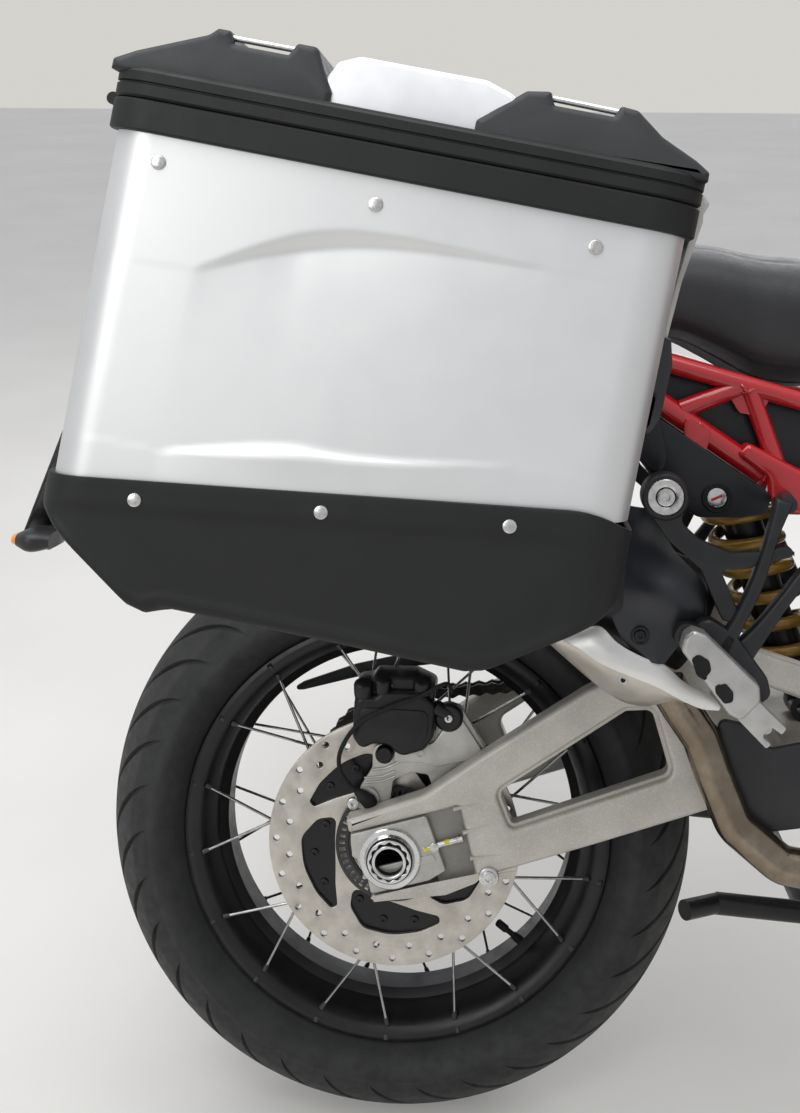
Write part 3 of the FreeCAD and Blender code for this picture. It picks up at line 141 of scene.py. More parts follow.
def rounded(points, radii, steps=6, closed=True):
    """Line through points with each corner an arc of its radius, given as a list or one number."""
    here = np.asarray(points, float)
    radii = np.broadcast_to(np.asarray(radii, float), len(here)).copy()
    if not closed:
        radii[[0, -1]] = 0
    back = unit(np.roll(here, 1, 0) - here)
    onward = unit(np.roll(here, -1, 0) - here)
    half = np.arccos(np.clip((back * onward).sum(-1), -0.99999, 0.99999)) / 2
    reach = radii / np.tan(half)
    start, end = here + back * reach[:, None], here + onward * reach[:, None]
    middle = here + unit(back + onward) * (radii / np.sin(half))[:, None]
    turn = (math.pi - 2 * half)[:, None, None]
    share = np.linspace(0, 1, steps)[None, :, None]
    arcs = (middle[:, None] + ((start - middle)[:, None] * np.sin((1 - share) * turn)
                               + (end - middle)[:, None] * np.sin(share * turn)) / np.sin(turn))
    line = np.where(radii[:, None, None] > 0, arcs, here[:, None]).reshape(-1, here.shape[1])
    gaps = np.linalg.norm(line - np.roll(line, 1, 0), axis=-1)
    gaps[0] = gaps[0] if closed else 1
    return line[gaps > 1e-3]


def spline(points, count):
    """Smooth line of that many points through the given ones, evenly spread by their distances."""
    points = np.asarray(points, float)
    steps = np.r_[0, np.cumsum(np.linalg.norm(np.diff(points, axis=0), axis=1))]
    slopes = np.gradient(points, steps, axis=0)
    at = np.linspace(0, steps[-1], count)
    index = np.clip(np.searchsorted(steps, at, side="right") - 1, 0, len(points) - 2)
    span = (steps[index + 1] - steps[index])[:, None]
    t = ((at - steps[index]) / span[:, 0])[:, None]
    return (points[index] * (1 + 2 * t) * (1 - t) ** 2 + slopes[index] * span * t * (1 - t) ** 2
            + points[index + 1] * t * t * (3 - 2 * t) + slopes[index + 1] * span * t * t * (t - 1))


def sweep(path, section, upright=(0, 0, 1), closed=False, sizes=1.0):
    """Section (points across, up) carried along a path, level with the upright direction; ends capped."""
    path = np.asarray(path, float)
    if closed:
        way = unit(np.roll(path, -1, 0) - np.roll(path, 1, 0))
    else:
        way = unit(np.gradient(path, axis=0))
    over = unit(np.cross(way, np.asarray(upright, float)))
    rise = np.cross(over, way)
    section = np.asarray(section, float) * np.broadcast_to(np.asarray(sizes, float),
                                                           len(path))[:, None, None]
    points = path[:, None] + over[:, None] * section[..., :1] + rise[:, None] * section[..., 1:]
    return grid(points, around=True, along=closed, cap=not closed)


def circle(radius, count=16):
    """Points of a circle, for a sweep."""
    turn = np.linspace(0, 2 * math.pi, count, endpoint=False)
    return np.stack([np.cos(turn), np.sin(turn)], -1) * radius


def tube(points, radius, bend=0, count=14, upright=(0, 1, 0), steps=7, closed=False):
    """Round bar through points, its corners arcs of the bend radius."""
    path = rounded(points, bend, steps, closed) if bend else np.asarray(points, float)
    return sweep(path, circle(radius, count), upright, closed)


def turned(profile, centre=(0, 0, 0), steps=96, axis=(0, 1, 0), closed=True):
    """Ring or knob: profile points (along the axis, radius) turned about an axis through the centre."""
    profile = np.asarray(profile, float)
    axis = unit(np.asarray(axis, float))
    first = unit(np.cross(axis, (0.3, 0.2, 1.0)))
    second = np.cross(axis, first)
    turn = np.linspace(0, 2 * math.pi, steps, endpoint=False)[:, None, None]
    spoke = np.cos(turn) * first + np.sin(turn) * second
    points = np.asarray(centre, float) + axis * profile[None, :, :1] + spoke * profile[None, :, 1:]
    return grid(points, along=True, around=closed)


def knob(place, radius, rise, axis=(0, -1, 0), edge=0.8, hollow=0.0, steps=24):
    """Round head standing on a place, its rim rounded, with a socket of that radius in it."""
    top = [(0, 0), (0, radius), (rise - edge, radius), (rise - edge * 0.3, radius - edge * 0.3),
           (rise, radius - edge)]
    top += [(rise, hollow), (rise * 0.35, hollow * 0.92), (rise * 0.35, 0)] if hollow else [(rise, 0)]
    return turned(top, place, steps, axis, closed=False)


def offset_loop(loop, inset):
    """Closed outline moved towards its own inside by a distance."""
    edge = unit(np.roll(loop, -1, 0) - loop)
    normal = np.stack([-edge[:, 1], edge[:, 0]], -1)
    before = np.roll(normal, 1, 0)
    share = np.maximum(1 + (normal * before).sum(-1, keepdims=True), 0.35)
    return loop + (normal + before) / share * inset


def counterclockwise(loop):
    """The outline turned so that its inside lies on the left."""
    x, y = loop.T
    return loop if (x * np.roll(y, -1) - y * np.roll(x, -1)).sum() > 0 else loop[::-1]


def slab(outline, low, high, windows=(), edge=1.0, steps=3):
    """Plate of an outline with windows, between two heights, with rounded edges: points (u, v, height).

    Each outline is carried up the plate with insets that follow a quarter circle at both faces,
    and the faces are triangles between the innermost lines."""
    loops = [counterclockwise(np.asarray(outline, float))]
    loops += [counterclockwise(np.asarray(window, float))[::-1] for window in windows]
    edge = min(edge, abs(high - low) / 2.01)
    angle = np.linspace(0, math.pi / 2, steps)
    insets = np.r_[edge * (1 - np.sin(angle)), edge * (1 - np.cos(angle))]
    depths = np.r_[low + edge * (1 - np.cos(angle)), high - edge * (1 - np.sin(angle))]
    shapes, rims = [], []
    for loop in loops:
        rings = [np.c_[offset_loop(loop, inset), np.full(len(loop), depth)]
                 for inset, depth in zip(insets, depths)]
        shapes.append(grid(np.array(rings), around=True))
        rims.append(rings[-1][:, :2])
    flat = [Vector(point) for loop in rims for point in loop]
    ends = np.cumsum([0] + [len(loop) for loop in rims])
    bounds = [list(range(a, b)) for a, b in zip(ends[:-1], ends[1:])]
    verts, _, faces, *_ = delaunay_2d_cdt(flat, [], bounds, 2, 1e-5)
    face_points = np.array([tuple(vert) for vert in verts])
    triangles = np.array(faces)
    for depth, order in ((depths[-1], 1), (depths[0], -1)):
        shapes.append((np.c_[face_points, np.full(len(face_points), depth)],
                       [triangles[:, ::order]]))
    return joined(*shapes)


def side_plate(outline, near, far, windows=(), edge=1.0, steps=3):
    """Plate seen from the machine's side: outlines (x, z), between two distances to the left."""
    points, faces = slab(outline, near, far, windows, edge, steps)
    return points[:, [0, 2, 1]], faces


def corners(rows, steps=6):
    """Outline from rows (x, z, corner radius)."""
    rows = np.asarray(rows, float)
    return rounded(rows[:, :2], rows[:, 2], steps)


def ring_of(count, radius, phase=0.0, centre=(0, 0)):
    """Centres spread evenly round a circle, as (x, z)."""
    turn = np.radians(phase) + np.arange(count) * 2 * math.pi / count
    return np.stack([centre[0] + radius * np.cos(turn), centre[1] + radius * np.sin(turn)], -1)


def rotated(loop, degrees, centre=(0, 0)):
    """Outline turned about a centre."""
    c, s = math.cos(math.radians(degrees)), math.sin(math.radians(degrees))
    x, z = (np.asarray(loop, float) - centre).T
    return np.stack([x * c - z * s, x * s + z * c], -1) + centre


def rods(starts, ends, radius, count=8):
    """Many straight round bars at once, from arrays of places."""
    starts, ends = np.asarray(starts, float), np.asarray(ends, float)
    way = unit(ends - starts)
    over = unit(np.cross(way, (0.31, 0.22, 0.92)))
    rise = np.cross(way, over)
    turn = np.linspace(0, 2 * math.pi, count, endpoint=False)
    radius = np.broadcast_to(np.asarray(radius, float), (len(starts), 2))
    ring = over[:, None] * np.cos(turn)[:, None] + rise[:, None] * np.sin(turn)[:, None]
    near = starts[:, None] + ring * radius[:, :1, None]
    far = ends[:, None] + ring * radius[:, 1:, None]
    return joined(*[grid(np.array(pair), around=True, cap=True) for pair in zip(near, far)])


def superoval(count, power):
    """Rounded square of half width 1: a circle's points pushed out towards the corners."""
    turn = np.linspace(0, 2 * math.pi, count, endpoint=False) + math.pi / count
    c, s = np.cos(turn), np.sin(turn)
    return np.stack([np.sign(c) * np.abs(c) ** (2 / power), np.sign(s) * np.abs(s) ** (2 / power)], -1)


def body_loft(rows, count=48, along=40, power=4.0):
    """Body along x from rows (x, middle y, half width, low z, high z), smooth between them."""
    rows = spline(np.asarray(rows, float), along)
    x, middle, half, low, high = rows.T[..., None]
    oval = superoval(count, power)
    y = middle + half * oval[None, :, 0]
    z = (low + high) / 2 + (high - low) / 2 * oval[None, :, 1]
    return grid(np.stack([np.broadcast_to(x, y.shape), y, z], -1), around=True, cap=True)


def on_steering(along, ahead=0.0, side=0.0):
    """Place given along the steering axis from its foot, ahead of it and to the left."""
    across = np.array((-STEERING_WAY[2], 0, STEERING_WAY[0])) * -1
    return STEERING_FOOT + STEERING_WAY * along + across * ahead + np.array((0, side, 0))


# Finishes
def node(tree, kind, links=None, **values):
    """Shader node; values fill its settings, links its sockets with a number, a colour or an output."""
    made = tree.nodes.new("ShaderNode" + kind)
    for name, value in values.items():
        setattr(made, name, value)
    for socket, value in (links or {}).items():
        if isinstance(value, bpy.types.NodeSocket):
            tree.links.new(value, made.inputs[socket])
        else:
            made.inputs[socket].default_value = value
    return made


def colour(value):
    """A colour from one number or three, with full alpha."""
    return (*np.broadcast_to(value, 3).tolist(), 1.0)


def principled(name, sockets):
    """New material, its tree and its shader, with the shader's own sockets set."""
    made = bpy.data.materials.new(name)
    made.use_nodes = True
    shader = made.node_tree.nodes["Principled BSDF"]
    for socket, value in sockets.items():
        shader.inputs[socket].default_value = value
    return made, made.node_tree, shader


def noise(tree, vector, size, detail=3.0, rough=0.55):
    """Noise with patches of about that many millimetres."""
    return node(tree, "TexNoise", {"Vector": vector, "Scale": 1000 / size, "Detail": detail,
                                   "Roughness": rough}).outputs["Fac"]


def spread(tree, value, low, high, source=(0.35, 0.65)):
    """A noise's middle range spread from low to high."""
    return node(tree, "MapRange", {"Value": value, "From Min": source[0], "From Max": source[1],
                                   "To Min": low, "To Max": high}).outputs["Result"]


def mixed(tree, share, first, second):
    """Colour between two, by a share."""
    return node(tree, "Mix", {0: share, 6: first, 7: second}, data_type="RGBA").outputs[2]


def bumped(tree, shader, height, depth, normal=None):
    """Bump of a depth in millimetres under the shader's normal."""
    links = {"Height": height, "Distance": depth / 1000, "Strength": 1.0}
    if normal:
        links["Normal"] = normal
    made = node(tree, "Bump", links).outputs["Normal"]
    tree.links.new(made, shader.inputs["Normal"])
    return made


def surface(name, dark, light, patch=60, roughness=(0.4, 0.5), grain=0.6, depth=0.02, metallic=0.0,
            coat=0.0, wear=0.0, specular=0.5):
    """Finish whose colour drifts over patches, with its roughness, and a grain in its height."""
    made, tree, shader = principled(name, {"Metallic": metallic, "Coat Weight": coat,
                                           "Coat Roughness": 0.06, "Specular IOR Level": specular})
    place = node(tree, "TexCoord").outputs["Object"]
    broad = noise(tree, place, patch)
    tint = mixed(tree, spread(tree, broad, 0, 1), colour(dark), colour(light))
    if wear:
        fine = spread(tree, noise(tree, place, patch / 25), 0, wear, (0.5, 0.8))
        tint = mixed(tree, fine, tint, colour(np.minimum(np.array(light) * 2.2 + 0.04, 1)))
    tree.links.new(tint, shader.inputs["Base Color"])
    tree.links.new(spread(tree, noise(tree, place, patch / 4), *roughness), shader.inputs["Roughness"])
    if depth:
        bumped(tree, shader, noise(tree, place, grain, 2.0), depth)
    return made


# Name: dark, light, patch, roughness, grain, depth, metallic, coat, wear, specular
FINISHES = {
    "case_aluminium": ((0.69, 0.69, 0.68), (0.71, 0.71, 0.70), 140, (0.40, 0.44), 0.7, 0.012, 0.7, 0, 0, 0.5),
    "handle_panel": ((0.80, 0.81, 0.82), (0.86, 0.87, 0.87), 60, (0.3, 0.36), 0.6, 0.006, 0.35, 0, 0, 0.5),
    "case_plastic": ((0.010, 0.0105, 0.010), (0.013, 0.0135, 0.013), 70, (0.5, 0.6), 0.9, 0.05, 0, 0, 0, 0.28),
    "handle_plastic": ((0.020, 0.021, 0.022), (0.026, 0.027, 0.028), 60, (0.5, 0.6), 0.9, 0.06, 0, 0, 0, 0.35),
    "black_plastic": ((0.012, 0.012, 0.013), (0.02, 0.02, 0.021), 60, (0.36, 0.5), 0.8, 0.03, 0, 0, 0, 0.45),
    "smooth_plastic": ((0.006, 0.0065, 0.008), (0.010, 0.0105, 0.012), 60, (0.3, 0.4), 1.0, 0.006, 0, 0, 0, 0.4),
    "satin_black": ((0.006, 0.006, 0.0065), (0.011, 0.011, 0.0115), 50, (0.3, 0.4), 0.7, 0.015, 0.1, 0, 0.04, 0.4),
    "gloss_black": ((0.002, 0.002, 0.002), (0.004, 0.004, 0.004), 50, (0.16, 0.24), 0.8, 0.006, 0, 0, 0, 0.4),
    "dark_casting": ((0.035, 0.035, 0.037), (0.055, 0.055, 0.058), 40, (0.42, 0.56), 0.9, 0.05, 0.55, 0, 0.1, 0.5),
    "grey_casting": ((0.44, 0.415, 0.365), (0.53, 0.505, 0.45), 45, (0.42, 0.52), 0.5, 0.03, 0.35, 0, 0.25, 0.5),
    "raw_casting": ((0.40, 0.385, 0.35), (0.52, 0.505, 0.465), 30, (0.36, 0.5), 0.8, 0.05, 0.5, 0, 0.2, 0.5),
    "machined": ((0.60, 0.60, 0.59), (0.74, 0.74, 0.73), 18, (0.16, 0.3), 0.5, 0.01, 1.0, 0, 0, 0.5),
    "zinc_bolt": ((0.52, 0.51, 0.49), (0.7, 0.69, 0.67), 6, (0.22, 0.36), 0.4, 0.01, 1.0, 0, 0, 0.5),
    "spoke_steel": ((0.30, 0.30, 0.295), (0.42, 0.42, 0.41), 14, (0.18, 0.28), 0.5, 0.004, 1.0, 0, 0, 0.5),
    "red_paint": ((0.42, 0.004, 0.008), (0.44, 0.005, 0.010), 80, (0.28, 0.30), 2.5, 0.006, 0, 0.8, 0, 0.5),
    "spring_gold": ((0.22, 0.12, 0.012), (0.32, 0.185, 0.02), 30, (0.3, 0.4), 0.9, 0.02, 0.3, 0.3, 0, 0.5),
    "shield_steel": ((0.74, 0.73, 0.70), (0.82, 0.81, 0.78), 40, (0.3, 0.4), 0.6, 0.006, 0.7, 0, 0, 0.5),
    "rubber": ((0.006, 0.006, 0.006), (0.011, 0.011, 0.011), 25, (0.6, 0.75), 0.9, 0.06, 0, 0, 0, 0.3),
    "yellow_mark": ((0.62, 0.56, 0.02), (0.75, 0.68, 0.05), 6, (0.5, 0.6), 0.5, 0.02, 0, 0, 0, 0.4),
    "red_mark": ((0.42, 0.01, 0.01), (0.5, 0.02, 0.02), 6, (0.4, 0.5), 0.5, 0.02, 0, 0, 0, 0.4),
    "lamp_red": ((0.30, 0.005, 0.008), (0.36, 0.01, 0.012), 20, (0.08, 0.14), 1.0, 0.004, 0, 0.6, 0, 0.5),
    "lamp_amber": ((0.75, 0.24, 0.02), (0.8, 0.28, 0.03), 20, (0.08, 0.14), 1.0, 0.004, 0, 0.6, 0, 0.5),
    # Darker grey for the swingarm's sunk panels is painted shade of their recess.
    "recess_painted_shade": ((0.20, 0.19, 0.17), (0.25, 0.24, 0.215), 30, (0.45, 0.55), 0.5, 0.03, 0.35, 0, 0.2, 0.5),
    "dark_chain": ((0.03, 0.029, 0.028), (0.07, 0.067, 0.062), 8, (0.3, 0.45), 0.6, 0.02, 0.8, 0, 0.4, 0.5),
    "hanger_black": ((0.012, 0.0125, 0.0135), (0.02, 0.0205, 0.022), 40, (0.34, 0.46), 0.9, 0.03, 0.2, 0, 0.03, 0.5),
    "cover_plastic": ((0.014, 0.0155, 0.019), (0.019, 0.0205, 0.025), 60, (0.3, 0.4), 1.0, 0.01, 0, 0, 0, 0.5),
    "peg_casting": ((0.44, 0.43, 0.41), (0.54, 0.53, 0.51), 30, (0.3, 0.42), 0.6, 0.02, 0.7, 0, 0.1, 0.5),
    "skirt_steel": ((0.52, 0.48, 0.42), (0.62, 0.58, 0.52), 40, (0.3, 0.42), 0.6, 0.006, 0.7, 0, 0, 0.5),
    "mirror_glass": ((0.55, 0.57, 0.60), (0.6, 0.62, 0.65), 60, (0.03, 0.05), 1.0, 0.0, 1.0, 0, 0, 0.5),
    "blank_plate": ((0.72, 0.72, 0.70), (0.78, 0.78, 0.76), 60, (0.35, 0.45), 0.8, 0.01, 0, 0, 0, 0.5),
}
COLUMNS = ("dark", "light", "patch", "roughness", "grain", "depth", "metallic", "coat", "wear", "specular")
finishes = {name: surface(name, **dict(zip(COLUMNS, values))) for name, values in FINISHES.items()}


def wheel_place(tree, centre):
    """Coordinates turned upright about a wheel's centre, and the distance from its axle, in metres."""
    place = node(tree, "TexCoord").outputs["Object"]
    lean = math.atan2(-side_way[2], side_way[1])
    turned_place = node(tree, "Mapping", {"Vector": place, "Location": leaned(centre),
                                          "Rotation": (-lean, 0, 0)}, vector_type="TEXTURE").outputs[0]
    flat = node(tree, "VectorMath", {0: turned_place, 1: (1, 0, 1)}, operation="MULTIPLY").outputs[0]
    return turned_place, node(tree, "VectorMath", {0: flat}, operation="LENGTH").outputs["Value"]


def tyre_rubber(name, centre, tread_radius):
    """Tyre rubber: worn dusty tread, darker sidewall with fine moulding rings and dusty flecks."""
    made, tree, shader = principled(name, {"Specular IOR Level": 0.35})
    place, radius = wheel_place(tree, centre)
    dust = spread(tree, noise(tree, place, 40, 5.0), 0, 0.7)
    tread = node(tree, "MapRange", {"Value": radius, "From Min": tread_radius / 1000 - 0.004,
                                    "From Max": tread_radius / 1000}).outputs["Result"]
    wall = mixed(tree, dust, colour((0.017, 0.0175, 0.0175)), colour((0.028, 0.0285, 0.028)))
    crown = mixed(tree, dust, colour((0.027, 0.028, 0.027)), colour((0.042, 0.042, 0.039)))
    tree.links.new(mixed(tree, tread, wall, crown), shader.inputs["Base Color"])
    tree.links.new(spread(tree, noise(tree, place, 12), 0.58, 0.78), shader.inputs["Roughness"])
    rings = node(tree, "MapRange", {"Value": node(tree, "Math", {0: node(tree, "Math", {
        0: radius, 1: 2600.0}, operation="MULTIPLY").outputs[0]}, operation="SINE").outputs[0],
        "From Min": -1.0, "From Max": 1.0}).outputs["Result"]
    first = bumped(tree, shader, rings, 0.03)
    bumped(tree, shader, noise(tree, place, 0.8), 0.07, first)
    return made


def ground_steel(name, centre, dark, light, roughness=(0.26, 0.42)):
    """Disc steel ground in circles: fine rings that follow the distance from the axle, and stains."""
    made, tree, shader = principled(name, {"Metallic": 0.9})
    place, radius = wheel_place(tree, centre)
    line = node(tree, "CombineXYZ", {"X": radius}).outputs[0]
    rings = noise(tree, line, 0.7, 4.0, 0.7)
    stain = spread(tree, noise(tree, place, 22, 5.0), 0, 1)
    base = mixed(tree, stain, colour(dark), colour(light))
    shade = mixed(tree, spread(tree, rings, 0, 0.35), base, colour(np.array(dark) * 0.6))
    tree.links.new(shade, shader.inputs["Base Color"])
    tree.links.new(spread(tree, rings, *roughness), shader.inputs["Roughness"])
    bumped(tree, shader, rings, 0.012)
    return made


def tinted_pipe():
    """Exhaust steel browned by heat in drifting bands."""
    made, tree, shader = principled("tinted_steel", {"Metallic": 1.0})
    place = node(tree, "TexCoord").outputs["Object"]
    bands = spread(tree, noise(tree, place, 70, 2.0), 0, 1)
    streaks = spread(tree, noise(tree, place, 9, 4.0), 0, 0.45)
    base = mixed(tree, bands, colour((0.20, 0.165, 0.125)), colour((0.32, 0.27, 0.21)))
    tree.links.new(mixed(tree, streaks, base, colour((0.17, 0.12, 0.08))), shader.inputs["Base Color"])
    tree.links.new(spread(tree, noise(tree, place, 5), 0.16, 0.24), shader.inputs["Roughness"])
    bumped(tree, shader, noise(tree, place, 1.2), 0.01)
    return made


def seat_vinyl():
    """Seat cover: fine close-set pits in black vinyl, softly shining."""
    made, tree, shader = principled("seat_vinyl", {"Specular IOR Level": 0.45, "Sheen Weight": 0.15})
    place = node(tree, "TexCoord").outputs["Object"]
    drift = spread(tree, noise(tree, place, 90), 0, 1)
    tree.links.new(mixed(tree, drift, colour((0.014, 0.0145, 0.016)), colour((0.022, 0.0225, 0.024))),
                   shader.inputs["Base Color"])
    tree.links.new(spread(tree, noise(tree, place, 15), 0.48, 0.6), shader.inputs["Roughness"])
    pits = node(tree, "TexVoronoi", {"Vector": place, "Scale": 1000 / 1.6}).outputs["Distance"]
    bumped(tree, shader, pits, 0.12)
    return made


def clear(name, tint, weight, roughness=0.04):
    """Clear moulding: thin tinted plastic or a lamp's lens."""
    made, tree, shader = principled(name, {"Transmission Weight": weight, "IOR": 1.45,
                                           "Base Color": colour(tint)})
    place = node(tree, "TexCoord").outputs["Object"]
    tree.links.new(spread(tree, noise(tree, place, 40), roughness, roughness + 0.05),
                   shader.inputs["Roughness"])
    return made


finishes["rear_rubber"] = tyre_rubber("rear_rubber", (0, 0, 0), 288)
finishes["front_rubber"] = tyre_rubber("front_rubber", FRONT_AXLE, 300)
finishes["rear_disc_steel"] = ground_steel("rear_disc_steel", (0, 0, 0), (0.50, 0.465, 0.41),
                                           (0.66, 0.62, 0.56))
finishes["front_disc_steel"] = ground_steel("front_disc_steel", FRONT_AXLE, (0.40, 0.385, 0.36),
                                            (0.52, 0.5, 0.47))
finishes["tinted_steel"] = tinted_pipe()
finishes["seat_vinyl"] = seat_vinyl()
finishes["clear_screen"] = clear("clear_screen", (0.75, 0.77, 0.79), 0.95)
finishes["lamp_lens"] = clear("lamp_lens", (0.9, 0.92, 0.94), 0.8)

# Slot of the record for each finish
SLOTS = {
    "case_aluminium": "case_aluminium", "handle_panel": "case_aluminium", "case_plastic": "black_plastic",
    "handle_plastic": "black_plastic", "black_plastic": "black_plastic", "smooth_plastic": "black_plastic",
    "satin_black": "black_metal", "gloss_black": "black_metal", "dark_casting": "dark_metal",
    "grey_casting": "cast_aluminium", "raw_casting": "cast_aluminium", "machined": "steel",
    "zinc_bolt": "steel", "spoke_steel": "steel", "red_paint": "red_metal", "spring_gold": "gold_metal",
    "shield_steel": "cast_aluminium", "rubber": "tyre", "rear_rubber": "tyre", "front_rubber": "tyre",
    "rear_disc_steel": "steel", "front_disc_steel": "steel", "tinted_steel": "bronze_steel",
    "seat_vinyl": "seat_cover", "clear_screen": "clear_lens", "lamp_lens": "clear_lens",
    "yellow_mark": "black_plastic", "red_mark": "red_metal", "lamp_red": "red_metal",
    "lamp_amber": "clear_lens", "blank_plate": "case_aluminium", "recess_painted_shade": "cast_aluminium",
    "mirror_glass": "steel", "dark_chain": "steel", "hanger_black": "dark_metal", "cover_plastic": "black_plastic",
    "peg_casting": "cast_aluminium", "skirt_steel": "cast_aluminium",
}


def make(name, shape, finish, body="root", replaced=(), smooth=32):
    """Piece of a shape, its doubles merged and its faces outwards, riding on a body."""
    points, faces = shape
    mesh = bpy.data.meshes.new(name)
    mesh.from_pydata(leaned(points).tolist(), [], [row for block in faces for row in block.tolist()])
    work = bmesh.new()
    work.from_mesh(mesh)
    bmesh.ops.remove_doubles(work, verts=work.verts, dist=5e-6)
    bmesh.ops.recalc_face_normals(work, faces=work.faces)
    work.to_mesh(mesh)
    work.free()
    mesh.polygons.foreach_set("use_smooth", np.ones(len(mesh.polygons), bool))
    mesh.set_sharp_from_angle(angle=math.radians(smooth))
    mesh.materials.append(finishes[finish])
    made = bpy.data.objects.new(name, mesh)
    bpy.context.scene.collection.objects.link(made)
    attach(made, body)
    if replaced:
        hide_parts(*replaced)
    return made


# CAD nodes that show as they are, and their finish
SHOWN = {
    "rear_sprocket": "zinc_bolt", "main_frame": "dark_casting", "engine": "dark_casting",
    "radiator": "black_plastic", "skid_plate": "grey_casting", "silencer": "satin_black",
    "luggage_rack": "satin_black", "case_carriers": "satin_black", "fork_legs": "dark_casting",
    "fork_yokes": "dark_casting", "instrument_panel": "black_plastic", "side_stand": "satin_black",
    "front_axle": "machined", "rear_axle": "machined",
}


def dress_frame():
    """Gives every CAD node its finish, by the table or by its slot in the record."""
    slots = {part["node"]: part["material_slot"] for part in frame["record"]["subparts"]}
    fallback = {slot: finish for finish, slot in reversed(SLOTS.items())}
    for name, solid in frame["nodes"].items():
        finish = finishes[SHOWN.get(name, fallback[slots[name]])]
        solid.data.materials.clear()
        solid.data.materials.append(finish)


dress_frame()


# Side cases, in the case's own places: u along the rim, y across the machine, w over the rim's foot
def cased(points):
    """Case places (u, y, w) as upright places."""
    u, y, w = np.moveaxis(np.asarray(points, float), -1, 0)
    c, s = math.cos(CASE_TILT), math.sin(CASE_TILT)
    return np.stack([CASE_CORNER[0] + u * c + w * s, y, CASE_CORNER[1] - u * s + w * c], -1)


def case_shape(shape):
    """A shape given in case places."""
    return cased(shape[0]), shape[1]


def case_plate(rows, near, far, windows=(), edge=2.0, steps=4):
    """Plate across the case from outlines of rows (u, w, corner radius), between two distances."""
    loops = [corners(window) for window in windows]
    points, faces = slab(corners(rows), near, far, loops, edge, steps)
    return case_shape((points[:, [0, 2, 1]], faces))


def case_plan(grow, steps=9, middle=14):
    """Rounded rectangle of the case seen from above, grown by a distance; its long sides are divided."""
    x0, x1 = -grow, CASE_LENGTH + grow
    y0, y1 = -CASE_OUTER - grow, -CASE_OUTER + CASE_DEPTH + grow
    loop = rounded(((x0, y0), (x1, y0), (x1, y1), (x0, y1)), 32 + grow, steps)
    far = np.linalg.norm(np.roll(loop, -1, 0) - loop, axis=1)
    runs = [np.linspace(a, b, middle if gap > 100 else 2)[:-1]
            for a, b, gap in zip(loop, np.roll(loop, -1, 0), far)]
    return np.concatenate(runs)


def crease(u, w, line, height, reach):
    """Depth of a pressed crease: nothing over its line, a slope of its own reach under it.

    The line and the slope's reach are curves along u; the depth follows a smooth step across."""
    middle = np.interp(u, line[:, 0], line[:, 1])
    width = np.maximum(np.interp(u, line[:, 0], line[:, 2]), 1e-3)
    share = np.clip((middle - w) / width, 0, 1)
    fade = np.clip(np.interp(u, line[:, 0], line[:, 2]) / reach, 0, 1)
    below = np.exp(-np.maximum(middle - width - w, 0) / 45)
    return height * fade * share * share * (3 - 2 * share) * below


HIGH_CREASE = spline(((84, -94, 0.5), (131, -65, 10), (160, -50, 16), (189, -42, 16), (233, -38.5, 12),
                      (278, -39.8, 7), (320, -41.5, 3), (346, -42, 0.5)), 60)
LOW_CREASE = spline(((84, -232, 0.5), (128, -219, 7), (159, -210.6, 11), (187, -205.6, 12), (218, -205.5, 9),
                     (264, -201.5, 6), (310, -195, 3), (346, -190, 0.5)), 60)


def case_shell():
    """Aluminium walls: the plan carried up, with two pressed creases on the outer face."""
    plan = case_plan(0, 10, 90)
    u, y = plan.T
    foot = -275 + u / CASE_LENGTH * 58
    rise = np.linspace(1, 0, 90)[:, None]
    w = foot * rise
    outer = np.clip((-CASE_OUTER + 4 - y) / 4 + 1, 0, 1)
    face = (y < -CASE_OUTER + 0.5) * 1.0
    push = crease(u[None], w, HIGH_CREASE, 5.5, 16) - crease(u[None], w, LOW_CREASE, 4.5, 12)
    grid_y = y[None] + push * face * outer
    skin = np.stack([np.broadcast_to(u, w.shape), grid_y, w], -1)
    return case_shape(grid(skin, around=True))


def case_inside():
    """Inner walls and floor of the case, seen when its lid is open."""
    plan = case_plan(-9, 6, 4)
    low = np.interp(plan[:, 0], (0, 83, 352, 437), (-285, -341, -341, -285))
    wall = np.stack([np.c_[plan, np.zeros(len(plan))], np.c_[plan, low]])
    middle = np.array((CASE_LENGTH / 2, -CASE_OUTER + CASE_DEPTH / 2))
    floor = [np.c_[middle + (plan - middle) * share,
                   np.interp((middle + (plan - middle) * share)[:, 0], (0, 83, 352, 437),
                             (-285, -341, -341, -285))] for share in (1, 0.66, 0.33, 0.001)]
    return case_shape(grid(np.concatenate([wall, np.array(floor)[1:]]), around=True))


FOOT_LINE = ((-6, -297), (2, -301), (76, -352), (92, -356), (100, -349), (345, -350), (361, -346),
             (430, -300), (446, -286))


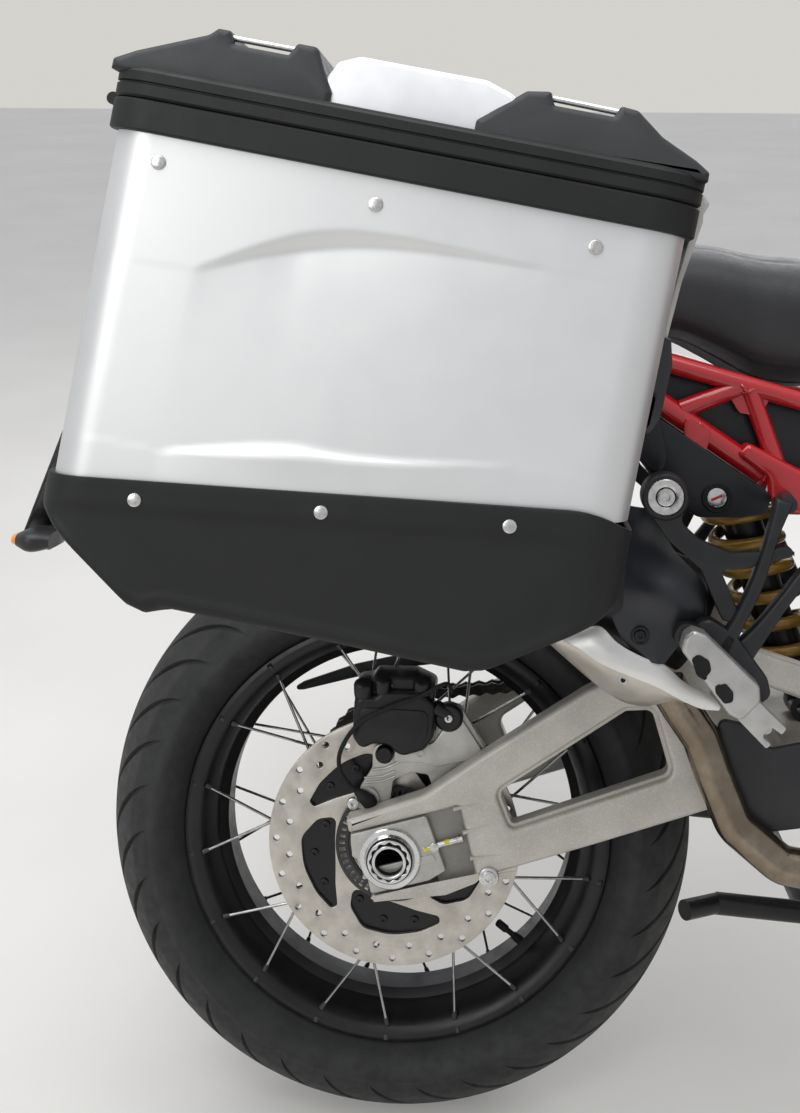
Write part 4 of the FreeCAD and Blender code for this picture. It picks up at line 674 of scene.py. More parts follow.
def case_base():
    """Black moulding under the case: a lip, walls with a sunk panel, chamfered ends and a floor."""
    plan = case_plan(5, 10, 60)
    u = plan[:, 0]
    top = np.clip(-267 + u / CASE_LENGTH * 58, -267.5, -208)
    dip = np.clip((u - 395) / 50, 0, 1) ** 2 * 16
    top = top - dip
    low = np.interp(u, *np.transpose(FOOT_LINE))
    centre = np.array((CASE_LENGTH / 2, -CASE_OUTER + CASE_DEPTH / 2))
    out = unit(plan - centre)
    rows = []
    lip, corner = 2.5, 9.0
    for inset, share, fall in ((5.2, 0, 0.0), (1.6, 0, 0.6), (0.4, 0, 0.0), (0, 0, -lip)):
        rows.append(np.c_[plan - out * inset, top + fall])
    deep = np.linspace(0, 1, 26)[1:-1]
    for share in deep:
        w = top - lip + (low + corner - top + lip) * share
        border = np.minimum.reduce([(top - w - 20) / 5, (w - low - 8) / 5, (u - 8) / 5, (424 - u) / 5])
        sunk = 1.6 * np.clip(border, 0, 1)
        rows.append(np.c_[plan - out * sunk[:, None], w])
    for turn in np.linspace(0, math.pi / 2, 5):
        rows.append(np.c_[plan - out * corner * (1 - math.cos(turn)), low + corner * (1 - math.sin(turn))])
    for share in (0.8, 0.6, 0.4, 0.2, 0.004):
        spot = centre + (plan - centre) * share
        rows.append(np.c_[spot, np.interp(spot[:, 0], *np.transpose(FOOT_LINE))])
    return case_shape(grid(np.array(rows), around=True))


def band(low, high, grow, inset, groove=None):
    """Moulded band round the case: its outer wall with rounded edges, closed inside."""
    outline = [(-8 - grow, low), (-inset, low), (0, low + inset)]
    if groove:
        outline += [(0, groove - 1.2), (-2.2, groove - 0.6), (-2.2, groove + 0.6), (0, groove + 1.2)]
    outline += [(0, high - inset), (-inset, high), (-8 - grow, high)]
    rows = [np.c_[case_plan(grow + out, 9, 3), np.full(len(case_plan(grow + out, 9, 3)), w)]
            for out, w in outline]
    return case_shape(grid(np.array(rows), around=True, along=True))


def lid_top():
    """The lid's flat top between its handle mouldings."""
    plan = case_plan(5, 9, 3)
    centre = np.array((CASE_LENGTH / 2, -CASE_OUTER + CASE_DEPTH / 2))
    rows = [np.c_[centre + (plan - centre) * share, np.full(len(plan), w)]
            for share, w in ((1, 44), (0.985, 47.2), (0.97, 48), (0.004, 48))]
    rows += [np.c_[centre + (plan - centre) * share, np.full(len(plan), w)] for share, w in ((0.004, 42), (1, 42))]
    return case_shape(grid(np.array(rows), around=True, along=True))


REAR_HANDLE = ((-7, 43, 0), (-7, 51, 3), (9, 60, 6), (60, 82, 10), (66, 88, 3), (76, 88, 3), (80, 78, 2),
               (122, 78, 2),
               (127, 88, 3), (143, 88, 6), (150, 74, 10), (160, 56, 3), (160, 43, 0))
FRONT_HANDLE = ((270, 43, 0), (270, 56, 3), (303, 85, 6), (321, 88, 3), (325, 78, 2), (370, 78, 2),
                (374, 87, 3), (387, 86, 6), (408, 70, 12), (436, 57, 6), (447, 50, 3),
                (447, 43, 0))
HANDLE_SIDES = (-CASE_OUTER + 2, -CASE_OUTER + CASE_DEPTH - 2)


def handles():
    """Handle mouldings at both ends of the lid, drawn in towards their tops."""
    near, far = HANDLE_SIDES
    parts = [case_plate(rows, near, far, edge=5.0, steps=5) for rows in (REAR_HANDLE, FRONT_HANDLE)]

    def drawn(x, y, z):
        """Width across the machine, less by a share of the height over the lid."""
        base = CASE_CORNER[1] - (x - CASE_CORNER[0]) * math.sin(CASE_TILT) + 46
        height = np.clip((z - base) / 42, 0, 1)
        middle = (near + far) / 2
        return x, middle + (y - middle) * (1 - 0.075 * height), z

    return warped(joined(*parts), drawn)


def handle_panel():
    """Bright panel between the handle mouldings."""
    rows = ((150, 44, 0), (150, 60, 4), (160, 80, 8), (176, 87, 10), (272, 87, 14), (300, 78, 10),
            (296, 60, 4), (286, 44, 0))
    return case_plate(rows, HANDLE_SIDES[0] + 7, HANDLE_SIDES[1] - 7, edge=4.0, steps=5)


def handle_wires():
    """Bright wire handles over the notches."""
    y = HANDLE_SIDES[0] + 16
    ends = ((68, 84), (130, 84), (318, 84), (376, 83))
    starts = cased([(u, y, w - 0.5) for u, w in ends[::2]])
    return rods(starts, cased([(u, y, w - 0.5) for u, w in ends[1::2]]), 2.4, 12)


def case_rivets():
    """Round rivet heads, three under the rim and three on the base moulding."""
    places = ((43, -CASE_OUTER, -20), (209, -CASE_OUTER, -20), (375, -CASE_OUTER, -20),
              (73, -CASE_OUTER - 4, -272), (213, -CASE_OUTER - 4, -253), (353, -CASE_OUTER - 4, -235))
    return joined(*[knob(cased(place), 5.6, 2.2, edge=1.4) for place in places])


def case_latch():
    """Latch at the case's front inner edge: a bright strap over a dark block."""
    near, far = -CASE_OUTER + 92, -CASE_OUTER + 128
    strap = case_plate(((449, 44, 1), (456, 40, 2), (459, 20, 3), (452, -30, 3), (449, -86, 2),
                        (445, -86, 1), (448, -30, 2), (452, 18, 3), (450, 36, 1)), near, far, edge=0.6)
    claw = case_plate(((444, 40, 2), (452, 46, 3), (462, 36, 3), (458, 24, 2), (450, 26, 2)),
                      near + 5, far - 5, edge=1.0)
    return joined(strap, claw)


def case_latch_block():
    """Dark lock housing that carries the strap's foot."""
    near, far = -CASE_OUTER + 84, -CASE_OUTER + 138
    return case_plate(((441.5, -76, 2), (452, -76, 3), (457, -96, 4), (456, -140, 6), (450, -154, 4),
                       (441.5, -154, 1)), near, far, edge=2.0)


def hinge_rolls():
    """Rolls of the lid's hinge at the rear edge."""
    along = ((40, 70), (70.3, 134.7), (135, 165))
    rolls = [turned(((0, 0.1), (0, 5), (b - a, 5), (b - a, 0.1)), cased((-12.5, -CASE_OUTER + a, 24.15)),
                    24, (0, 1, 0), closed=False) for a, b in along]
    return rolls[0], rolls[1], rolls[2]


def make_cases():
    """Both side cases: the right one as built, the left one its mirror image."""
    for name, other in (("right", False), ("left", True)):
        lid = "lid_" + name

        def turned_over(shape):
            """The shape as built, or its mirror image for the left case."""
            return mirrored(shape) if other else shape

        rolls = hinge_rolls()
        make("case_shell_" + name, turned_over(case_shell()), "case_aluminium", "root",
             ["case_body_" + name], 40)
        make("case_lining_" + name, turned_over(case_inside()), "case_plastic")
        make("case_foot_" + name, turned_over(case_base()), "case_plastic", "root",
             ["case_base_" + name], 40)
        make("case_rim_" + name, turned_over(joined(band(0.3, RIM_RISE, 7, 1.6), rolls[0], rolls[2])),
             "case_plastic", "root", ["case_rim_" + name])
        make("case_lid_band_" + name, turned_over(joined(band(RIM_RISE + 0.8, 46, 7, 2.0, 36), lid_top(),
                                                        rolls[1])),
             "case_plastic", lid, ["case_lid_" + name])
        make("case_handles_" + name, turned_over(handles()), "handle_plastic", lid, (), 40)
        make("case_panel_" + name, turned_over(handle_panel()), "handle_panel", lid, (), 40)
        make("case_wires_" + name, turned_over(handle_wires()), "machined", lid)
        make("case_rivets_" + name, turned_over(case_rivets()), "zinc_bolt")
        make("case_strap_" + name, turned_over(case_latch()), "raw_casting", "root",
             ["case_latch_" + name])
        make("case_lock_" + name, turned_over(case_latch_block()), "dark_casting")


make_cases()


# Wheels
def tyre_half(form, pitches, groove_depth):
    """One half of a tyre from its crown to its bead, on a grid sheared along the slanted grooves.

    Rows follow the section: a circle round the tread, an arc down the wall. Columns stand at the
    grooves' edges and floors; each row turns them by the slant, a parabola of the way from the
    shoulder, and the grooves are leaf-shaped: width and depth follow half a sine."""
    radius, half, rim, seat = form["radius"], form["half"], form["rim"], form["seat"]
    crown = radius - half
    shoulder = math.radians(66)
    reach = shoulder * half
    tread = np.linspace(0, 1, 30)
    angle = shoulder * tread
    y, r = half * np.sin(angle), crown + half * np.cos(angle)
    bead = np.array((half * 0.66, rim + 1.5))
    start = np.array((y[-1], r[-1]))
    bulge = np.array((half * 1.03, (start[1] + bead[1]) / 2 + 4))
    share = np.linspace(0, 1, 16)[1:, None]
    wall = (1 - share) ** 2 * start + 2 * share * (1 - share) * bulge * (1.045, 1) + share ** 2 * bead
    steps = np.array([(1.2, 0.02), (1.2, 0.05)])
    wall[:2, 0] -= steps[:, 0] * 0.6
    ring = 0.9 * np.exp(-((share[:, 0] - 0.82) / 0.03) ** 2) + 0.5 * np.exp(-((share[:, 0] - 0.3) / 0.02) ** 2)
    wall[:, 0] += ring
    inner = np.array([(half * 0.66, seat + 0.3), (0, seat + 0.3)])
    profile = np.concatenate([np.c_[y, r], wall, inner])
    normal = np.concatenate([np.c_[np.sin(angle), np.cos(angle)], np.zeros((len(wall) + 2, 2))])
    from_shoulder = reach * (1 - np.r_[tread, np.ones(len(wall) + 2)])
    slant = 0.7 * from_shoulder + 0.8 * from_shoulder ** 2 / reach
    along = np.clip((from_shoulder - 2) / (reach * 0.84), 0, 1)
    leaf = np.sin(math.pi * along) ** 0.75 * (along > 0) * (along < 1)
    width = 0.5 + 5.2 * leaf
    pitch = 2 * math.pi * radius / pitches
    even = (np.arange(10) - 4.5) / 10 * pitch
    places = np.stack([np.full(len(width), -0.42 * pitch), -0.26 * pitch - 0 * width, -width, -width * 0.55,
                       -width * 0.15, width * 0.15, width * 0.55, width, 0 * width + 0.24 * pitch,
                       0 * width + 0.40 * pitch], -1)
    blend = np.clip(from_shoulder / reach * 5 - 3.9, 0, 1)[:, None]
    places = places * (1 - blend) + even * blend
    deep = np.array((0, 0, 0, 1, 1, 1, 1, 0, 0, 0))[None] * leaf[:, None] * groove_depth * (1 - blend)
    turn = (places - slant[:, None])[:, None, :] / radius
    turn = turn + (np.arange(pitches) * 2 * math.pi / pitches)[None, :, None]
    turn = turn.reshape(len(profile), -1)
    deep = np.broadcast_to(deep[:, None], (len(profile), pitches, 10)).reshape(len(profile), -1)
    out_y = profile[:, :1] - normal[:, :1] * deep
    out_r = profile[:, 1:] - normal[:, 1:] * deep
    return turn, out_y, out_r


def tyre(form, pitches, groove_depth, centre):
    """Whole tyre: both halves, the left one turned by half a pitch."""
    turn, y, r = tyre_half(form, pitches, groove_depth)
    halves = []
    for sign, phase in ((-1, 0), (1, math.pi / pitches)):
        at = -turn + phase
        points = np.stack([r * np.cos(at), sign * y, r * np.sin(at)], -1)
        halves.append(grid(points + np.asarray(centre, float), around=True))
    return joined(*halves)


def rim(form, centre):
    """Spoked rim: flanges with a ridge for the nipples, bead seats and a well, as one closed section."""
    half, flange, seat = form["half"] * 0.66, form["rim"], form["seat"]
    outer = [(half + 5.5, flange - 1), (half + 6.5, flange - 3), (half + 6.5, flange - 8),
             (half + 3, flange - 13), (half + 1, seat - 5), (half - 6, seat - 9), (half - 12, seat - 13),
             (half * 0.42, seat - 17), (half * 0.3, seat - 26)]
    inner = [(half * 0.3 - 4, seat - 20), (half * 0.5, seat - 6), (half * 0.6, seat - 1), (half, seat),
             (half + 0.4, flange), (half + 3, flange + 1.5), (half + 5, flange + 0.6)]
    section = np.array(outer + [(-y, r) for y, r in reversed(outer)]
                       + [(-y, r) for y, r in reversed(inner)] + inner)
    return turned(section, centre, 180)


def spokes(form, hub, centre, phase=8.0):
    """Crossed spokes from the rim's ridges to the hub's flanges, alternately leaning each way."""
    y_rim, r_rim = form["half"] * 0.66 + 1.5, form["seat"] - 4.5
    r_hub, y_hub, lean = hub["radius"] - 4, hub["flange"], hub["lean"]
    angle = np.radians(phase + np.arange(36) * 10)
    side = np.where(np.arange(36) % 2 == 0, -1.0, 1.0)
    way = np.where(np.arange(36) % 4 < 2, 1.0, -1.0)
    inner = angle + way * math.radians(lean)
    outside = side * (y_hub + np.where(way > 0, 3.5, -3.5))
    ends = np.stack([r_rim * np.cos(angle), side * y_rim, r_rim * np.sin(angle)], -1)
    roots = np.stack([r_hub * np.cos(inner), outside, r_hub * np.sin(inner)], -1)
    return roots + centre, ends + centre, angle, side


def nipples(form, centre, phase=8.0):
    """Nipple heads outside the rim's ridges."""
    half, flange = form["half"] * 0.66, form["rim"]
    angle = np.radians(phase + np.arange(36) * 10)
    side = np.where(np.arange(36) % 2 == 0, -1.0, 1.0)
    out = np.stack([np.cos(angle), side * 0.55, np.sin(angle)], -1)
    place = np.stack([(flange - 6) * np.cos(angle), side * (half + 4.4), (flange - 6) * np.sin(angle)], -1)
    return rods(place + centre, place + unit(out) * 5.0 + centre, (3.4, 2.9), 8)


def hub(form, centre):
    """Hub between its spoke flanges."""
    radius, flange, end, bore = form["radius"], form["flange"], form["end"], form["bore"]
    half = [(end, bore), (end, bore + 13), (end - 2, bore + 14), (flange + 8, bore + 16),
            (flange + 4, radius - 8), (flange + 5, radius - 1), (flange + 3, radius), (flange - 3, radius),
            (flange - 5, radius - 1), (flange - 5, radius - 12), (flange - 12, bore + 14)]
    section = np.array([(-y, r) for y, r in half] + [(y, r) for y, r in reversed(half)])
    return turned(section, centre, 72)


REAR_HUB = dict(radius=66, flange=42, end=62, bore=17.7, lean=52)
FRONT_HUB = dict(radius=52, flange=36, end=54, bore=12.7, lean=52)


def make_wheel(name, form, hub_form, pitches, depth, centre, body, rubber):
    """Tyre, rim, hub, spokes, nipples and valve of a wheel."""
    make(name + "_tyre_tread", tyre(form, pitches, depth, centre), rubber, body, [name + "_tyre"], 28)
    make(name + "_rim", joined(rim(form, centre), hub(hub_form, centre)), "satin_black", body,
         [name + "_wheel_rim"], 35)
    roots, ends, *_ = spokes(form, hub_form, centre)
    make(name + "_spokes", rods(roots, ends, 1.55, 8), "spoke_steel", body)
    collars = rods(ends - unit(ends - roots) * 7, ends, (2.4, 2.9), 8)
    make(name + "_nipples", joined(nipples(form, centre), collars), "dark_casting", body)
    at = math.radians(315)
    foot = np.array(((form["seat"] - 20) * math.cos(at), -10, (form["seat"] - 20) * math.sin(at))) + centre
    way = np.array((-math.cos(at), -0.35, -math.sin(at)))
    valve = joined(rods([foot], [foot + way * 16], (5.5, 4.2), 16), rods([foot + way * 16],
                   [foot + way * 36], 3.0, 12), rods([foot + way * 28], [foot + way * 40], 4.3, 12))
    make(name + "_valve", valve, "rubber", body)


make_wheel("rear", REAR_TYRE, REAR_HUB, 34, 5.0, np.zeros(3), "rear_wheel", "rear_rubber")
make_wheel("front", FRONT_TYRE, FRONT_HUB, 36, 4.0, FRONT_AXLE, "front_wheel", "front_rubber")


# Rear brake
def polar(rows, turn=0.0):
    """Outline from rows (degrees, distance from the centre, corner radius), turned by an angle."""
    degrees, radius, bend = np.transpose(np.asarray(rows, float))
    angle = np.radians(degrees + turn)
    return corners(np.c_[radius * np.cos(angle), radius * np.sin(angle), bend])


def disc(side, radius, inner, petal, petals, first, holes, half=2.6):
    """Brake disc: petal windows and two staggered rings of round holes."""
    windows = [circle(inner, 48)] + [polar(petal, first + index * 360 / petals) for index in range(petals)]
    for distance, phase in ((radius - 8, 0), (radius - 20.5, 180 / holes)):
        windows += [circle(3.5, 10) + place for place in ring_of(holes, distance, phase)]
    return side_plate(circle(radius, 160), side - half, side + half, windows, 0.7, 3)


PETAL = ((-1, 66, 6), (6, 84, 14), (20, 98.5, 16), (38, 100, 60), (56, 99.5, 40), (69, 98.5, 4),
         (71, 92, 4), (58, 77, 40), (42, 66, 40), (20, 62.5, 30))


def tone_ring():
    """Dark ring with slots that the wheel's sensor reads."""
    slots = [polar(((-2.2, 51, 0), (2.2, 51, 0), (2.0, 57.5, 0), (-2.0, 57.5, 0)), index * 7.5)
             for index in range(48)]
    ring = side_plate(circle(61, 96), -93, -91.2, [circle(47.5, 48)] + slots, 0.4, 2)
    return joined(ring, turned(((-92, 46), (-86, 46), (-86, 48), (-92, 48)), steps=48))


def make_rear_disc():
    """Disc, black carrier behind its windows, bolts and sensor ring."""
    make("rear_disc_ground", disc(-DISC_SIDE, 132.5, 44, PETAL, 5, 87, 20), "rear_disc_steel",
         "rear_wheel", ["rear_disc"], 40)
    carrier = turned(((-81, 107), (-75, 107), (-74, 100), (-74, 62), (-62.2, 46), (-62.2, 28), (-86, 28),
                      (-86, 44), (-81, 46)))
    make("rear_disc_carrier", carrier, "gloss_black", "rear_wheel")
    make("rear_sensor_ring", tone_ring(), "dark_casting", "rear_wheel", (), 30)
    heads = [knob((x, -81, z), 4.4, 2.6, edge=1.2, hollow=1.9, steps=16)
             for turn, far in ((10, 74), (32, 86), (54, 88)) for x, z in ring_of(5, far, 87 + turn)]
    make("rear_disc_bolts", joined(*heads), "satin_black", "rear_wheel")


make_rear_disc()


def make_rear_caliper():
    """Caliper in black over its raw bracket, with pins, hose joint, sensor and cable."""
    outer = side_plate(corners(((-42, 120, 9), (-33, 106, 9), (-20, 113, 12), (-4, 112, 12), (8, 100, 12),
                                (33, 108, 12), (42, 122, 8), (44, 156, 9), (28, 170, 8), (-14, 170, 6),
                                (-18, 164, 4), (-40, 164, 9))), -120, -95, (), 6.5, 6)
    face = side_plate(corners(((-36, 124, 8), (-28, 113, 8), (-14, 119, 10), (2, 118, 10), (12, 107, 10),
                               (30, 114, 10), (36, 126, 8), (37, 150, 8), (-34, 152, 8))), -121.5, -112,
                      (), 1.4, 3)
    bridge = side_plate(corners(((-40, 150, 5), (40, 150, 5), (44, 172, 8), (22, 182, 8), (-20, 182, 6),
                                 (-24, 176, 4), (-42, 174, 8))), -112, -62, (), 4.0, 4)
    inner = side_plate(corners(((-34, 116, 10), (34, 116, 10), (40, 160, 8), (-38, 160, 8))), -75, -60, (), 3, 3)
    lobes = [knob((x, -112, z), r, 14, (0, -0.35, 1), 3.0, steps=28) for x, z, r in
             ((-31, 164, 10), (-11, 168, 9), (30, 168, 10))]
    lug = turned(((0, 0.01), (0, 15), (8, 15), (11, 12), (11, 5), (8, 4.4), (8, 0.01)), (57, -103, 141), 32,
                 (0, -1, 0), closed=False)
    foot = turned(((0, 0.01), (0, 9.5), (15, 9.5), (18, 7), (18, 0.01)), (-9, -96, 99), 28, (0, -1, 0.1),
                  closed=False)
    neck = rods([(42, -110, 152)], [(57, -108, 143)], 8, 16)
    make("rear_caliper_body", joined(outer, face, bridge, inner, lug, foot, neck, *lobes), "satin_black",
         "root", ["rear_caliper"], 40)
    window = corners(((-3, 47, 6), (0, 72, 8), (20, 80, 8), (36, 78, 4), (42, 62, 6), (26, 44, 8)))
    plate = side_plate(corners(((-30, 20, 8), (-38, 50, 9), (-34, 64, 9), (-22, 84, 12), (-22, 106, 10),
                                (0, 114, 10), (38, 114, 12), (52, 152, 10), (68, 153, 9), (96, 107, 5),
                                (86, 96, 6), (62, 86, 20), (48, 70, 10), (48, -20, 12), (-24, -26, 12))),
                       -103.6, -95.2, [window, circle(19, 40)], 1.6, 3)
    raised = side_plate(corners(((-4, 92, 6), (6, 112, 8), (40, 112, 8), (60, 140, 4), (70, 140, 5),
                                 (92, 107, 4), (82, 97, 5), (44, 88, 10), (30, 92, 14))), -109, -103,
                        (), 1.8, 3)
    ribs = [tube([(-30, -104, 68 + shift), (-12, -104, 70 + shift), (2, -104, 76 + shift)], 1.3, 0, 8)
            for shift in (0, 5)]
    rim_line = tube([(-22, -104, 82), (-8, -104, 84), (8, -104, 92), (14, -104, 106)], 1.5, 12, 8)
    stamp = turned(((-1, 3.2), (-1, 4.4), (0, 4.4), (0, 3.2)), (28, -109, 102), 20)
    collar = turned(((-3, 8), (-3, 12.5), (1, 12.5), (1, 8)), (-27, -105, 52), 28)
    make("rear_bracket", joined(plate, raised, rim_line, stamp, collar, *ribs), "raw_casting", "root", (), 40)
    bolts = [knob((-41, -105, 47), 6.4, 5, edge=1.6, hollow=2.6), knob((57, -114, 141), 4.2, 2, hollow=2),
             rods([(-14, -108, 171)], [(-2, -108, 174)], 5.5, 14), rods([(2, -100, 176)], [(12, -100, 178)], 4, 14)]
    make("rear_brake_bolts", joined(*bolts), "zinc_bolt")
    cable = spline(((60, -112, 168), (57, -120, 178), (28, -124, 166), (-5, -126, 153), (-32, -126, 138),
                    (-48, -124, 118), (-55, -120, 98), (-54, -116, 84), (-46, -113, 70), (-36, -112, 60)), 60)
    head = sweep([(-38, -112, 63), (-31, -112, 57), (-24, -111, 51), (-20, -110, 47)], circle(1, 16), (0, 1, 0),
                 sizes=(3.5, 6.5, 8.0, 6.0))
    make("rear_sensor_cable", joined(tube(cable, 2.3, 0, 10), head), "rubber")


make_rear_caliper()

# Swingarm, rear axle and chain
ARM = ((-46, 38, 3), (-43, 24, 3), (70, 56, 4), (88, -16, 6), (56, -30, 3), (-18, -40, 3), (-24, -47, 3),
       (35, -31, 60), (93, -17, 60), (203, 19, 80), (333, 64, 80), (590, 60, 26), (622, 100, 16),
       (600, 150, 26), (360, 226, 40), (290, 226, 40), (197, 179, 60), (91, 108, 60), (33, 66, 50))
ARM_WINDOWS = (((106, 72, 12), (122, 33, 8), (287, 94, 12), (266, 163, 12), (236, 161, 10)),
               ((322, 118, 12), (520, 112, 10), (486, 150, 14), (362, 192, 14), (322, 190, 12)))


def make_swingarm():
    """Both arms with bevelled edges, the blocks that hold the axle in their open ends, and the cross box."""
    windows = [corners(rows, 8) for rows in ARM_WINDOWS]
    right = side_plate(corners(ARM, 8), -132, -104.2, windows, 5.5, 5)
    left = side_plate(corners(ARM, 8), 119.2, 145, windows, 5.5, 5)
    lips = [side_plate(loop, -126, -108, [offset_loop(counterclockwise(loop), 4.5)], 0.8, 2)
            for loop in (offset_loop(counterclockwise(windows[0]), -1.0),)]
    box = side_plate(corners(((392, 68, 10), (520, 72, 10), (520, 118, 10), (392, 122, 10))), -106, 121, (), 5, 4)
    tunnel = turned(((-106, 15.2), (-106, 27), (121, 27), (121, 15.2)), (575, 0, 105), 48)
    ribs = rods([(64, -131.4, 53), (74, -131.4, 29), (82, -131.4, 3), (92, -131.4, -18)],
                [(90, -131.6, 60), (104, -131.6, 40), (112, -131.6, 8), (128, -131.6, -8)], (2.2, 0.6), 8)
    make("swingarm_arms", joined(right, left, box, tunnel, ribs, *lips), "grey_casting", "root", ["swingarm"], 36)
    # The sunk panels take a darker grey that is painted shade of their recess.
    recess = corners(((30, 43, 2), (72, 57, 2), (90, -17, 3), (50, -26, 2)))
    make("swingarm_recess_shaded", joined(side_plate(recess, -124, -106, (), 1.0),
                                   side_plate(recess, 121, 138, (), 1.0)), "recess_painted_shade")
    notch = ((-41, 23, 2), (36, 45, 3), (57, -11, 3), (40, -22, 3), (-19, -38, 3), (-25, -14, 2), (-31, -12, 2),
             (-34, -2, 2), (-39, 0, 2))
    block = side_plate(corners(notch), -130.5, -106, [circle(17.7, 40)], 1.2, 3)
    ridge = side_plate(corners(((-30, -24, 2), (-18, -20, 2), (48, -2, 2), (44, 6, 2), (-24, -12, 2))), -131.6,
                       -128, (), 0.8)
    far_block = side_plate(corners(notch), 121, 143.5, [circle(17.7, 40)], 1.2, 3)
    make("axle_blocks", joined(block, ridge, far_block), "raw_casting", "root", (), 40)
    washer = turned(((-129, 17.7), (-129, 31.5), (-133, 31.5), (-134.2, 30.4), (-134.2, 26), (-136, 25),
                     (-137.5, 23.6), (-137.5, 17.7)), (0, 0, 0), 80)
    scallops = np.radians(np.arange(0, 360, 5))
    lobe = (19.2 + 1.1 * np.cos(12 * scallops))[:, None] * np.stack([np.cos(scallops), np.sin(scallops)], -1)
    nut = side_plate(circle(22.3, 72), -141.5, -136, [lobe], 0.9, 3)
    inner = turned(((-143, 14.5), (-143.5, 15.2), (-143.5, 16.6), (-142.8, 17.3), (153, 17.3), (153, 14.5)),
                   (0, 0, 0), 60)
    far_nut = side_plate(rotated(circle(24, 6), 15), 143.6, 153, [circle(17.4, 40)], 1.0)
    make("rear_axle_nuts", joined(washer, nut, inner, far_nut), "machined", "root", ["rear_axle"], 36)
    lining = turned(((-139, 14.3), (146, 14.3), (146, 14.6), (-139, 14.6)), (0, 0, 0), 48)
    seal = turned(((-136.6, 22.4), (-136.6, 23.9), (-138.6, 23.6), (-138.6, 22.4)), (0, 0, 0), 60)
    make("rear_axle_seal", joined(seal, lining, turned(((-139, 17.3), (-139, 19.6), (-136, 19.6), (-136, 17.3)),
                                               (0, 0, 0), 60)), "rubber")
    clevis = joined(knob((101, -131, -15), 10.5, 4.5, edge=1.8),
                    knob((101, -134.5, -15), 7.4, 3.2, edge=1.2, hollow=3.6),
                    rods([(34, -128, 10)], [(74, -128, 22)], 3.4, 16), knob((45, -126, 13), 5.2, 6, edge=1, steps=6))
    make("swingarm_bolts", clevis, "zinc_bolt")
    marks = [side_plate(corners(((x, z, 0.6), (x + 5, z + 1.4, 0.6), (x + 4, z + 5.2, 0.6), (x - 1, z + 4, 0.6))),
                        -131.5, -126, (), 0.5) for x, z in ((35, 8), (56, 16))]
    make("adjuster_marks", joined(*marks), "yellow_mark")


make_swingarm()
CHAIN_SIDE, PITCH, CHAIN_RADIUS = 104, 15.875, 102.5


def chain_pins():
    """Pins spread evenly round the run over both sprockets: two arcs and the lines that touch them."""
    centre, big, small = np.array((648.0, 130.0)), CHAIN_RADIUS, 48.5
    leave = math.acos((big - small) / np.linalg.norm(centre))
    base = math.atan2(centre[1], centre[0])
    rear = base + np.linspace(leave, 2 * math.pi - leave, 200)
    front = base + np.linspace(-leave, leave, 80)
    line = np.concatenate([np.stack([np.cos(rear), np.sin(rear)], -1) * big,
                           centre + np.stack([np.cos(front), np.sin(front)], -1) * small])
    line = np.concatenate([line, line[:1]])
    steps = np.r_[0, np.cumsum(np.linalg.norm(np.diff(line, axis=0), axis=1))]
    at = np.linspace(0, steps[-1], round(steps[-1] / PITCH / 2) * 2, endpoint=False)
    return np.stack([np.interp(at, steps, line[:, 0]), np.interp(at, steps, line[:, 1])], -1)


def link_plates(pins, start, low, high):
    """Waisted plates of every second link, on both sides of the chain's middle."""
    here, onward = pins[start::2], np.roll(pins, -1, 0)[start::2]
    way = unit(onward - here)
    over = np.stack([-way[:, 1], way[:, 0]], -1)
    turn = np.radians((90, 135, 180, 225, 270))
    end = np.stack([np.cos(turn), np.sin(turn)], -1) * 7.2
    outline = np.concatenate([[(PITCH / 2, 4.6)], end, [(PITCH / 2, -4.6)], -end + (PITCH, 0)])
    flat = here[:, None] + way[:, None] * outline[:, :1] + over[:, None] * outline[:, 1:]
    shapes = []
    for sign in (-1, 1):
        rings = [np.insert(flat, 1, CHAIN_SIDE + sign * y, axis=-1) for y in (low, high)]
        first = (np.arange(len(here)) * 24)[:, None]
        j = np.arange(12)
        quads = first[..., None] + np.stack([j, (j + 1) % 12, 12 + (j + 1) % 12, 12 + j], -1)
        shapes.append((np.stack(rings, 1).reshape(-1, 3), [quads.reshape(-1, 4), first + j[::-1], first + 12 + j]))
    return joined(*shapes)


def make_chain():
    """Drive chain: outer and inner plates, rollers and pins."""
    pins = chain_pins()
    near, far = (np.insert(pins, 1, CHAIN_SIDE + side, axis=-1) for side in (-10, 10))
    rollers = rods(near + (0, 5.6, 0), far - (0, 5.6, 0), 4.8, 8)
    turn = np.arange(160) * 2 * math.pi / 160
    tooth = (CHAIN_RADIUS - 8.4 + 3.0 * np.cos(40 * turn))[:, None] * np.stack([np.cos(turn), np.sin(turn)], -1)
    holes = [circle(11, 24) + place for place in ring_of(6, 68)] + [circle(30, 48)]
    holes += [polar(((-9, 80, 3), (9, 80, 3), (9, 86, 3), (-9, 86, 3)), index * 60 + 30) for index in range(6)]
    bell = turned(((62.3, 30), (62.3, 44), (100, 50), (100, 30)), (0, 0, 0), 48)
    nuts = [knob((x, 107.5, z), 6, 5, (0, 1, 0), 1, 2.5, 6) for x, z in ring_of(6, 44, 30)]
    make("sprocket_plate", joined(side_plate(tooth, 100.5, 107.5, holes, 1.2, 3), bell, *nuts), "zinc_bolt",
         "rear_wheel", ["rear_sprocket"], 36)
    make("drive_chain_links", joined(link_plates(pins, 0, 7.0, 8.8), link_plates(pins, 1, 4.6, 6.4), rollers,
                                     rods(near, far, 2.7, 7)), "dark_chain", "root", ["drive_chain"], 30)


make_chain()


# Subframe, covers, shock absorber
def bead(place, way, radius, wire=1.7):
    """Weld bead round a tube."""
    return turned(circle(wire, 8) + (0, radius), place, 28, way)


